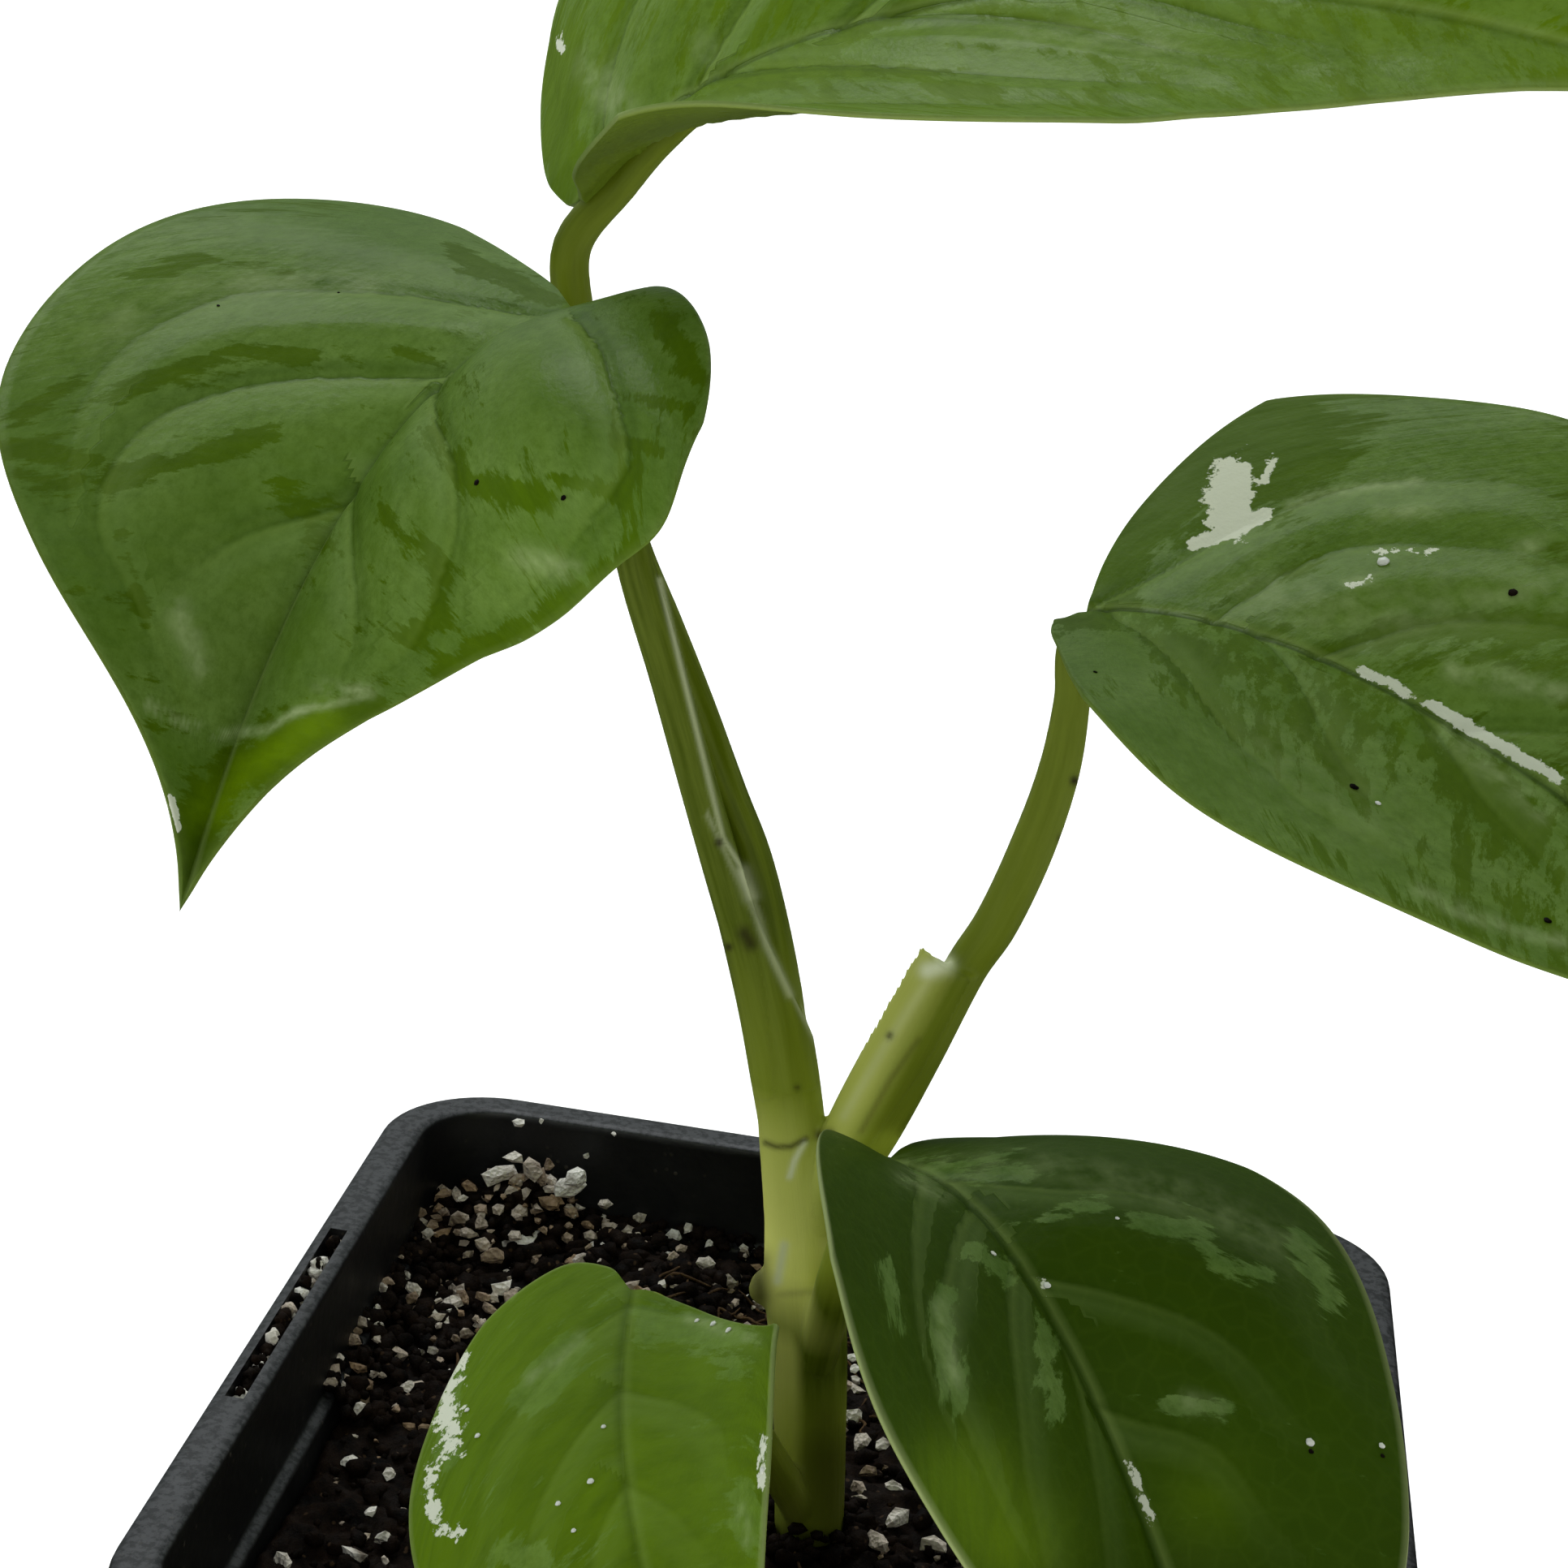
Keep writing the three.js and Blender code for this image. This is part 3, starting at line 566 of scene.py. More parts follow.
def wet_leaf_cuticle():
    """Leaf blade, grown: green tissue under a waxy cuticle that was just watered. The water is a thin film
    with ragged edges whose grey-green is a painted sky reflection. Veins are sunk, with painted shade and
    highlights at them, fine ribs run between them, and painted sheen and glare lie on top."""
    material, tree, shader = new_material("wet_leaf_cuticle")
    sheet, ribs, vein, midrib = (
        add_node(tree, "ShaderNodeAttribute", {"attribute_name": name}).outputs["Vector"]
        for name in ("sheet", "ribs", "vein", "midrib")
    )
    margin, under, wet, lime, deep, glint, sheen = (
        add_node(tree, "ShaderNodeAttribute", {"attribute_name": name}).outputs["Fac"]
        for name in ("margin", "under", "wet", "lime", "deep", "glint", "sheen")
    )
    across = add_node(tree, "ShaderNodeSeparateXYZ", links={0: sheet}).outputs["Y"]
    to_vein, gap, vein_strength = add_node(tree, "ShaderNodeSeparateXYZ", links={0: vein}).outputs
    crease, ridge, gleam = add_node(tree, "ShaderNodeSeparateXYZ", links={0: midrib}).outputs

    # Clouds of colour about 17 mm wide, and a mottle about 1.4 mm wide that follows the ribs
    clouds = add_node(tree, "ShaderNodeTexNoise", {"Scale": 0.06, "Detail": 3.0}, {"Vector": sheet})
    cloud = add_node(tree, "ShaderNodeMapRange", {1: 0.3, 2: 0.7}, {0: clouds})
    green = add_node(tree, "ShaderNodeMix", {"data_type": "RGBA", 6: "#3a5203", 7: "#4f7006"}, {0: cloud})
    mottle = add_node(
        tree, "ShaderNodeTexNoise", {"Scale": 0.7, "Detail": 4.0, "Roughness": 0.6}, {"Vector": ribs})
    mottled = add_node(tree, "ShaderNodeMapRange", {1: 0.4, 2: 0.7, 4: 0.3}, {0: mottle})

    # Small veins: a net of cells about 1.6 mm across, a little paler than the tissue between them
    cells = {"feature": "DISTANCE_TO_EDGE", "Scale": 0.62}
    net = add_node(tree, "ShaderNodeTexVoronoi", cells, {"Vector": sheet})
    net_line = add_node(tree, "ShaderNodeMapRange", {2: 0.12, 3: 0.05, 4: 0.0}, {0: net})
    tissue = green
    for share, tint in ((deep, "#263a00"), (lime, "#6c8a02"), (mottled, "#304a04"), (net_line, "#6d8a2c")):
        tissue = add_node(tree, "ShaderNodeMix", {"data_type": "RGBA", 7: tint}, {0: share, 6: tissue})

    # Films of water lie in islands along the ribs, some 2 mm wide. Their grey-green is a painted sky
    # reflection, greyest at their rims as a painted highlight. Each has pools of two tones about 6 mm wide,
    # and specks about 1 mm wide where the leaf shows through.
    ragged = add_node(
        tree, "ShaderNodeTexNoise", {"Scale": 0.6, "Detail": 9.0, "Roughness": 0.74}, {"Vector": ribs})
    depth = add_node(tree, "ShaderNodeMath", {"operation": "MULTIPLY_ADD", 1: 1.4}, {0: ragged, 2: wet})
    film = add_node(tree, "ShaderNodeMapRange", {1: 1.155, 2: 1.245}, {0: depth})
    rim = add_node(tree, "ShaderNodeMapRange", {1: 1.17, 2: 1.45, 3: 0.55, 4: 0.42}, {0: depth})
    painted_reflection_share = add_node(tree, "ShaderNodeMath", {"operation": "MULTIPLY"}, {0: film, 1: rim})
    pools = add_node(tree, "ShaderNodeTexNoise", {"Scale": 0.16, "Detail": 4.0}, {"Vector": sheet})
    pool = add_node(tree, "ShaderNodeMapRange", {1: 0.35, 2: 0.65}, {0: pools})
    water = add_node(tree, "ShaderNodeMix", {"data_type": "RGBA", 6: "#64863e", 7: "#86a45a"}, {0: pool})
    specks = add_node(
        tree, "ShaderNodeTexNoise", {"Scale": 1.1, "Detail": 8.0, "Roughness": 0.75}, {"Vector": sheet})
    speck = add_node(tree, "ShaderNodeMapRange", {1: 0.42, 2: 0.66, 4: 0.55}, {0: specks})
    some_lime = add_node(tree, "ShaderNodeMath", {"operation": "MULTIPLY", 1: 0.6}, {0: lime})
    for share, tint in ((some_lime, "#7d9c2c"), (speck, "#3f5c14")):
        water = add_node(tree, "ShaderNodeMix", {"data_type": "RGBA", 7: tint}, {0: share, 6: water})
    colour = add_node(tree, "ShaderNodeMix", {"data_type": "RGBA"}, {0: painted_reflection_share, 6: tissue, 7: water})

    # The midrib and the side veins get painted shade in their creases. Beside each side vein lie a thin
    # painted highlight, and a broad band of painted sheen on one side and of painted shade on the other.
    # Beside the midrib lies a pale ridge, partly its paler tissue and partly a painted highlight
    near = add_node(tree, "ShaderNodeMapRange", {1: 2.6, 2: 2.9, 3: 1.0, 4: 0.0}, {0: gap})
    near_vein = add_node(tree, "ShaderNodeMath", {"operation": "MULTIPLY"}, {0: near, 1: vein_strength})
    vein_lines = (
        (line_beside(tree, to_vein, 1.5, 1.4, 0.3), near_vein, "#90aa62"),
        (line_beside(tree, to_vein, -0.8, 0.8, 0.4), near_vein, "#2f4a04"),
        (line_beside(tree, to_vein, 0.55, 0.5, 0.28), near_vein, "#8fa653"),
        (line_beside(tree, across, -0.5, 0.6, 1.0), ridge, "#93a85a"),
        (line_beside(tree, to_vein, 0.0, 0.38, 0.5), near_vein, "#294002"),
        (line_beside(tree, across, 0.0, 0.55, 1.0), crease, "#2a4004"),
    )
    shares = []
    for line, where, tint in vein_lines:
        shares.append(add_node(tree, "ShaderNodeMath", {"operation": "MULTIPLY"}, {0: line, 1: where}))
        colour = add_node(tree, "ShaderNodeMix", {"data_type": "RGBA", 7: tint}, {0: shares[-1], 6: colour})
    vein_creases = shares[4]

    # Pale painted sheen in dabs about 2 mm wide, and white painted glare in bits under 1 mm and along the
    # midrib
    dabs = add_node(tree, "ShaderNodeTexNoise", {"Scale": 0.6, "Detail": 4.0}, {"Vector": sheet})
    dab = add_node(tree, "ShaderNodeMapRange", {1: 0.32, 2: 0.68}, {0: dabs})
    painted_sheen = add_node(tree, "ShaderNodeMath", {"operation": "MULTIPLY"}, {0: sheen, 1: dab})
    bits = add_node(
        tree, "ShaderNodeTexNoise", {"Scale": 1.3, "Detail": 5.0, "Roughness": 0.7}, {"Vector": sheet})
    glare_sum = add_node(tree, "ShaderNodeMath", {"operation": "MULTIPLY_ADD", 1: 1.6}, {0: bits, 2: glint})
    glare = add_node(tree, "ShaderNodeMapRange", {1: 1.25, 2: 1.31, 4: 0.9}, {0: glare_sum})
    rib_line = line_beside(tree, across, -0.8, 0.95, 1.0)
    on_rib = add_node(tree, "ShaderNodeMath", {"operation": "MULTIPLY"}, {0: rib_line, 1: gleam})
    rib_sum = add_node(tree, "ShaderNodeMath", {"operation": "MULTIPLY_ADD", 1: 1.8}, {0: bits, 2: on_rib})
    rib_glare = add_node(tree, "ShaderNodeMapRange", {1: 1.38, 2: 1.46, 4: 0.8}, {0: rib_sum})
    top_layers = (
        (painted_sheen, "#adbd84"), (glare, "#eff1dd"), (rib_glare, "#eff1dd"), (under, "#66791f"),
        (margin, "#c3cd8f"),
    )
    for share, tint in top_layers:
        colour = add_node(tree, "ShaderNodeMix", {"data_type": "RGBA", 7: tint}, {0: share, 6: colour})

    # Damp wax is satin, a film of water is glossier
    wax = add_node(tree, "ShaderNodeMapRange", {1: 0.3, 2: 0.7, 3: 0.42, 4: 0.55}, {0: mottle})
    gloss = add_node(tree, "ShaderNodeMix", {3: 0.3}, {0: film, 2: wax})

    # Ribs about 1.5 mm apart and cells about 0.5 mm wide, as low relief, with the veins sunk
    grain = add_node(tree, "ShaderNodeTexNoise", {"Scale": 2.0, "Detail": 3.0}, {"Vector": sheet})
    fine = add_node(tree, "ShaderNodeMath", {"operation": "MULTIPLY_ADD", 1: 1.5}, {0: mottle, 2: grain})
    sunk = add_node(
        tree, "ShaderNodeMath", {"operation": "MULTIPLY_ADD", 1: -2.0}, {0: vein_creases, 2: fine})
    bump = add_node(tree, "ShaderNodeBump", {"Strength": 0.3, "Distance": 0.00015}, {"Height": sunk})
    set_node(
        tree, shader, {"IOR": 1.36, "Specular IOR Level": 0.1},
        {"Base Color": colour, "Roughness": gloss, "Normal": bump},
    )
    return material


def petiole_tissue():
    """Stem, petioles and sheaths, grown: juicy green tissue under a smooth skin. Fibres run along it, the
    upper stem and the free margins of the sheaths are pale, and small brown specks lie on it. Painted light
    lies on the lower stalks, painted shade low on the stem, and white painted glints on it."""
    material, tree, shader = new_material("petiole_tissue")
    grain = add_node(tree, "ShaderNodeAttribute", {"attribute_name": "grain"}).outputs["Vector"]
    light, pale, margin, shade, brown = (
        add_node(tree, "ShaderNodeAttribute", {"attribute_name": name}).outputs["Fac"]
        for name in ("light", "pale", "margin", "shade", "brown")
    )

    # Fibres about 0.7 mm apart round the stalk and some 11 mm long, and clouds about 3 mm wide
    fibres = add_node(
        tree, "ShaderNodeTexNoise", {"Scale": 1.5, "Detail": 4.0, "Roughness": 0.6}, {"Vector": grain})
    clouds = add_node(tree, "ShaderNodeTexNoise", {"Scale": 0.35, "Detail": 2.0}, {"Vector": grain})
    colour = add_node(tree, "ShaderNodeMix", {"data_type": "RGBA", 6: "#435202", 7: "#566404"}, {0: clouds})
    streak = add_node(tree, "ShaderNodeMapRange", {1: 0.35, 2: 0.7, 4: 0.5}, {0: fibres})
    # Of these, light is a lighter green and painted light on the lower stalks, margin also holds white
    # painted glints, and shade and part of brown are painted shade
    layers = (
        (streak, "#7c8a2c"), (light, "#97a530"), (pale, "#f8fa86"), (margin, "#e6ebc4"), (shade, "#3d460e"),
        (brown, "#2a210c"),
    )
    for share, tint in layers:
        colour = add_node(tree, "ShaderNodeMix", {"data_type": "RGBA", 7: tint}, {0: share, 6: colour})
    dull = add_node(tree, "ShaderNodeMapRange", {1: 0.3, 2: 0.7, 3: 0.3, 4: 0.46}, {0: fibres})
    bump = add_node(tree, "ShaderNodeBump", {"Strength": 0.3, "Distance": 0.00025}, {"Height": fibres})
    set_node(
        tree, shader, {"IOR": 1.42, "Specular IOR Level": 0.16},
        {"Base Color": colour, "Roughness": dull, "Normal": bump},
    )
    return material


def moulded_polypropylene():
    """Nursery pot, injection moulded in black polypropylene: satin, a little greyer in clouds, grey in marks
    under 1 mm wide on its upward faces, and dusted by the potting mix."""
    material, tree, shader = new_material("moulded_polypropylene")
    place = add_node(tree, "ShaderNodeTexCoord").outputs["Object"]

    # Clouds about 17 mm wide
    clouds = add_node(tree, "ShaderNodeTexNoise", {"Scale": 60.0, "Detail": 3.0}, {"Vector": place})
    colour = add_node(tree, "ShaderNodeMix", {"data_type": "RGBA", 6: "#070708", 7: "#101012"}, {0: clouds})

    # Dust specks 0.3 to 0.4 mm wide, in drifts about 7 mm wide
    grit = add_node(tree, "ShaderNodeTexVoronoi", {"Scale": 900.0}, {"Vector": place})
    grit_mask = add_node(tree, "ShaderNodeMapRange", {1: 0.12, 2: 0.2, 3: 0.55, 4: 0.0}, {0: grit})
    drift = add_node(
        tree, "ShaderNodeTexNoise", {"Scale": 140.0, "Detail": 4.0, "Roughness": 0.7}, {"Vector": place})
    drift_mask = add_node(tree, "ShaderNodeMapRange", {1: 0.5, 2: 0.68}, {0: drift})
    grit_where = add_node(tree, "ShaderNodeMath", {"operation": "MULTIPLY"}, {0: grit_mask, 1: drift_mask})

    # Upward faces are grey in marks under 1 mm wide
    facing = add_node(tree, "ShaderNodeNewGeometry").outputs["Normal"]
    upward = add_node(tree, "ShaderNodeSeparateXYZ", links={0: facing}).outputs["Z"]
    top = add_node(tree, "ShaderNodeMapRange", {1: 0.35, 2: 0.95, 4: 0.8}, {0: upward})
    marks = add_node(
        tree, "ShaderNodeTexNoise", {"Scale": 1400.0, "Detail": 5.0, "Roughness": 0.7}, {"Vector": place})
    grey_marks = add_node(tree, "ShaderNodeMapRange", {1: 0.44, 2: 0.54, 3: 0.05, 4: 0.95}, {0: marks})
    film = add_node(tree, "ShaderNodeMath", {"operation": "MULTIPLY"}, {0: top, 1: grey_marks})
    for share, tint in ((grit_where, "#6d6355"), (film, "#444447")):
        colour = add_node(tree, "ShaderNodeMix", {"data_type": "RGBA", 7: tint}, {0: share, 6: colour})
    dull = add_node(tree, "ShaderNodeMapRange", {1: 0.3, 2: 0.7, 3: 0.38, 4: 0.58}, {0: drift})

    # Moulded grain about 1 mm wide
    pits = add_node(tree, "ShaderNodeTexNoise", {"Scale": 900.0, "Detail": 3.0}, {"Vector": place})
    relief = add_node(tree, "ShaderNodeMath", {"operation": "ADD"}, {0: pits, 1: grit_where})
    bump = add_node(tree, "ShaderNodeBump", {"Strength": 0.35, "Distance": 0.00015}, {"Height": relief})
    set_node(tree, shader, {"IOR": 1.49}, {"Base Color": colour, "Roughness": dull, "Normal": bump})
    return material


def damp_peat(name, dark, light):
    """Potting mix, milled peat and bark, watered: nearly black brown crumbs with wet glints between. Its
    grain is about 2.4 mm wide with finer parts in it, and its flecks are 0.3 mm wide."""
    material, tree, shader = new_material(name)
    place = add_node(tree, "ShaderNodeTexCoord").outputs["Object"]
    coarse = add_node(
        tree, "ShaderNodeTexNoise", {"Scale": 420.0, "Detail": 5.0, "Roughness": 0.7}, {"Vector": place})
    contrast = add_node(tree, "ShaderNodeMapRange", {1: 0.36, 2: 0.68}, {0: coarse})
    brown = add_node(tree, "ShaderNodeMix", {"data_type": "RGBA", 6: dark, 7: light}, {0: contrast})
    flecks = add_node(tree, "ShaderNodeTexVoronoi", {"Scale": 700.0}, {"Vector": place})
    fleck = add_node(tree, "ShaderNodeMapRange", {1: 0.1, 2: 0.16, 3: 0.5, 4: 0.0}, {0: flecks})
    colour = add_node(tree, "ShaderNodeMix", {"data_type": "RGBA", 7: "#5b4632"}, {0: fleck, 6: brown})
    film = add_node(tree, "ShaderNodeTexNoise", {"Scale": 260.0, "Detail": 2.0}, {"Vector": place})
    dull = add_node(tree, "ShaderNodeMapRange", {1: 0.4, 2: 0.6, 3: 0.6, 4: 0.85}, {0: film})
    bump = add_node(tree, "ShaderNodeBump", {"Strength": 0.9, "Distance": 0.0006}, {"Height": coarse})
    links = {"Base Color": colour, "Roughness": dull, "Normal": bump}
    set_node(tree, shader, {"Specular IOR Level": 0.08}, links)
    return material


def expanded_perlite():
    """Perlite, volcanic glass puffed by heat: chalky off-white, full of pits 0.4 mm wide, and stained by wet
    peat in patches about 3 mm wide."""
    material, tree, shader = new_material("expanded_perlite")
    place = add_node(tree, "ShaderNodeTexCoord").outputs["Object"]
    stains = add_node(tree, "ShaderNodeTexNoise", {"Scale": 330.0, "Detail": 4.0}, {"Vector": place})
    stain = add_node(tree, "ShaderNodeMapRange", {1: 0.52, 2: 0.66, 4: 0.85}, {0: stains})
    tint = add_node(tree, "ShaderNodeAttribute", {"attribute_name": "tint"}).outputs["Fac"]
    clean = add_node(tree, "ShaderNodeMix", {"data_type": "RGBA", 6: "#fffaf0", 7: "#9a7c5c"}, {0: tint})
    colour = add_node(tree, "ShaderNodeMix", {"data_type": "RGBA", 7: "#5e4a34"}, {0: stain, 6: clean})
    pits = add_node(tree, "ShaderNodeTexVoronoi", {"Scale": 2600.0}, {"Vector": place})
    bump = add_node(tree, "ShaderNodeBump", {"Strength": 0.8, "Distance": 0.0003}, {"Height": pits})
    set_node(tree, shader, {"Roughness": 0.75}, {"Base Color": colour, "Normal": bump})
    return material


def clear_water():
    """Beads of clean water: round and smooth, painted nearly white as their highlight, with swirls about 1
    mm wide."""
    material, tree, shader = new_material("clear_water")
    place = add_node(tree, "ShaderNodeTexCoord").outputs["Object"]
    swirl = add_node(tree, "ShaderNodeTexNoise", {"Scale": 900.0, "Detail": 2.0}, {"Vector": place})
    tone = add_node(tree, "ShaderNodeMix", {"data_type": "RGBA", 6: "#f4f6e6", 7: "#ffffff"}, {0: swirl})
    constants = {"Roughness": 0.03, "IOR": 1.33, "Transmission Weight": 0.15}
    set_node(tree, shader, constants, {"Base Color": tone})
    return material


# Pot

def corner_at(half):
    """Radius of the pot's upright corners where its half width is this."""
    return max(SMALLEST_CORNER, POT_CORNER - (POT_WIDTH / 2 - half))


COLLAR_INSIDE = POT_WIDTH / 2 - RIM_WIDTH
SHOULDER_Z = POT_HEIGHT - SHOULDER_DROP
INNER_FOOT = BASE_WIDTH / 2 - WALL
INNER_AT_SHOULDER = COLLAR_INSIDE - SHOULDER_STEP - 0.4
SLOT_X = POT_WIDTH / 2 - WALL - SLOT_WIDTH / 2 - 0.02


def inner_half(z):
    """Half width of the pot's inside below its shoulder."""
    return lerp(INNER_FOOT, INNER_AT_SHOULDER, (z - FLOOR_THICKNESS) / (SHOULDER_Z - FLOOR_THICKNESS))


def rounded_square(half, corner, z):
    """Points round a square with round corners, at a height."""
    ring = []
    for quarter in range(4):
        turn = quarter * math.pi / 2
        c, s = math.cos(turn), math.sin(turn)
        middle = ((half - corner) * (c - s), (half - corner) * (c + s))
        for k in range(CORNER_STEPS + 1):
            angle = turn + k / CORNER_STEPS * math.pi / 2
            ring.append((middle[0] + corner * math.cos(angle), middle[1] + corner * math.sin(angle), z))
    return ring


def rounded_profile(profile, reach=0.35, steps=3):
    """A profile with each corner rounded, as far as reach and its sides allow."""
    out = []
    count = len(profile)
    for k in range(count):
        before, here, after = (np.array(profile[(k + d) % count], float) for d in (-1, 0, 1))
        cut = min(reach, 0.35 * np.linalg.norm(before - here), 0.35 * np.linalg.norm(after - here))
        start = here + unit(before - here) * cut
        end = here + unit(after - here) * cut
        for t in np.linspace(0, 1, steps + 1):
            out.append(lerp(lerp(start, here, t), lerp(here, end, t), t))
    return out


def add_box(shape, low, high, turn=0.0, shift=(0, 0)):
    """Adds a box, turned about Z and then moved by shift."""
    made = bmesh.ops.create_cube(shape, size=1)["verts"]
    low, high = Vector(low), Vector(high)
    c, s = math.cos(turn), math.sin(turn)
    for v in made:
        p = Vector(lerp(low[k], high[k], v.co[k] + 0.5) for k in range(3))
        v.co = (c * p.x - s * p.y + shift[0], s * p.x + c * p.y + shift[1], p.z)


def object_from(shape, name):
    """A bmesh in millimetres as an object in metres that isn't a piece yet."""
    mesh = bpy.data.meshes.new(name)
    bmesh.ops.scale(shape, vec=(MM, MM, MM), verts=shape.verts)
    shape.to_mesh(mesh)
    shape.free()
    made = bpy.data.objects.new(name, mesh)
    bpy.context.scene.collection.objects.link(made)
    return made


def apply_boolean(body, cutter, operation):
    """Joins a cutter to a body, or takes it away, and removes the cutter."""
    step = body.modifiers.new("cut", "BOOLEAN")
    step.operation = operation
    step.solver = "EXACT"
    step.object = cutter
    evaluated = body.evaluated_get(bpy.context.evaluated_depsgraph_get())
    mesh = bpy.data.meshes.new_from_object(evaluated)
    body.modifiers.clear()
    body.data = mesh
    bpy.data.objects.remove(cutter)


def make_pot(material):
    """The pot: its wall turned over at the rim, slots in the rim, and drains and grooves below."""
    out = POT_WIDTH / 2
    collar_outside = COLLAR_INSIDE + WALL
    profile = [
        (BASE_WIDTH / 2 - 0.8, 0), (BASE_WIDTH / 2, 0.8), (INNER_AT_SHOULDER + WALL, SHOULDER_Z - 1.2),
        (collar_outside - 0.3, SHOULDER_Z), (collar_outside, POT_HEIGHT - RIM_TOP),
        (out - WALL, POT_HEIGHT - RIM_TOP), (out - WALL, POT_HEIGHT - RIM_SKIRT),
        (out, POT_HEIGHT - RIM_SKIRT), (out, POT_HEIGHT - 0.9), (out - 0.25, POT_HEIGHT - 0.25),
        (out - 0.9, POT_HEIGHT),
        (COLLAR_INSIDE + 0.7, POT_HEIGHT), (COLLAR_INSIDE + 0.15, POT_HEIGHT - 0.2),
        (COLLAR_INSIDE, POT_HEIGHT - 0.7), (COLLAR_INSIDE - 0.3, SHOULDER_Z + 0.3),
        (INNER_AT_SHOULDER, SHOULDER_Z), (INNER_FOOT + 0.2, FLOOR_THICKNESS + 0.8),
        (INNER_FOOT - 0.8, FLOOR_THICKNESS),
    ]
    shape = bmesh.new()
    add_tube(shape, [rounded_square(half, corner_at(half), z) for half, z in rounded_profile(profile)])
    body = object_from(shape, "pot_body")

    pockets = bmesh.new()
    slots = bmesh.new()
    pocket_top = POT_HEIGHT - RIM_TOP / 2
    slot_foot = POT_HEIGHT - SLOT_DEPTH
    for side in (-1, 1):
        near, far = sorted((side * (out - RIM_WIDTH + WALL / 2), side * (out - WALL / 2)))
        add_box(pockets, (near, -SLOT_LENGTH / 2 - 1, slot_foot - 1), (far, SLOT_LENGTH / 2 + 1, pocket_top))
        near, far = sorted((side * (SLOT_X - SLOT_WIDTH / 2), side * (SLOT_X + SLOT_WIDTH / 2)))
        add_box(slots, (near, -SLOT_LENGTH / 2, slot_foot), (far, SLOT_LENGTH / 2, POT_HEIGHT + 1))
    apply_boolean(body, object_from(pockets, "pockets"), "UNION")
    apply_boolean(body, object_from(slots, "slots"), "DIFFERENCE")

    drains = bmesh.new()
    places = [(k * 2 * math.pi / DRAINS, DRAIN_SPREAD * (1.2 if k % 2 else 1)) for k in range(DRAINS)]
    for turn, spread in places:
        place = Matrix.Translation((spread * math.cos(turn), spread * math.sin(turn), FLOOR_THICKNESS / 2))
        bmesh.ops.create_cone(
            drains, cap_ends=True, segments=28, radius1=DRAIN_RADIUS, radius2=DRAIN_RADIUS,
            depth=4 * FLOOR_THICKNESS, matrix=place,
        )
    apply_boolean(body, object_from(drains, "drains"), "DIFFERENCE")
    for turn, spread in places:
        groove = bmesh.new()
        middle = spread + GROOVE_HALF_LENGTH
        low = (-GROOVE_HALF_LENGTH, -GROOVE_WIDTH / 2, -GROOVE_DEPTH)
        high = (GROOVE_HALF_LENGTH, GROOVE_WIDTH / 2, GROOVE_DEPTH)
        add_box(groove, low, high, turn, (middle * math.cos(turn), middle * math.sin(turn)))
        apply_boolean(body, object_from(groove, "groove"), "DIFFERENCE")
    mesh = body.data
    bpy.data.objects.remove(body)
    add_piece("nursery_pot", mesh, material, "pot", crease=32)


# Soil

SOIL_HALF = inner_half(SOIL_TOP) - FIT_GAP
SOIL_CORNER = corner_at(SOIL_HALF)


def soil_height(x, y):
    """Height of the soil's top, without its crumbs."""
    z = SOIL_TOP + 0.5 * math.sin(x * 0.21 + 1) * math.cos(y * 0.17) + 0.35 * math.sin(x * 0.43 - y * 0.37)
    return z + 3.2 * math.exp(-((x - HEAP[0]) ** 2 + (y - HEAP[1]) ** 2) / 70)


def in_pot(x, y, spare):
    """Whether a point lies inside the soil's rounded square, at least spare from its edge."""
    half, corner = SOIL_HALF - spare, max(SOIL_CORNER - spare, 1)
    dx, dy = abs(x) - half + corner, abs(y) - half + corner
    return max(dx, dy) < corner and (dx < 0 or dy < 0 or math.hypot(dx, dy) < corner)


def from_stem(x, y):
    """How far a point of the soil lies from the middle of the stem."""
    return math.hypot(x - STEM_AT_SOIL[0], y - STEM_AT_SOIL[1])


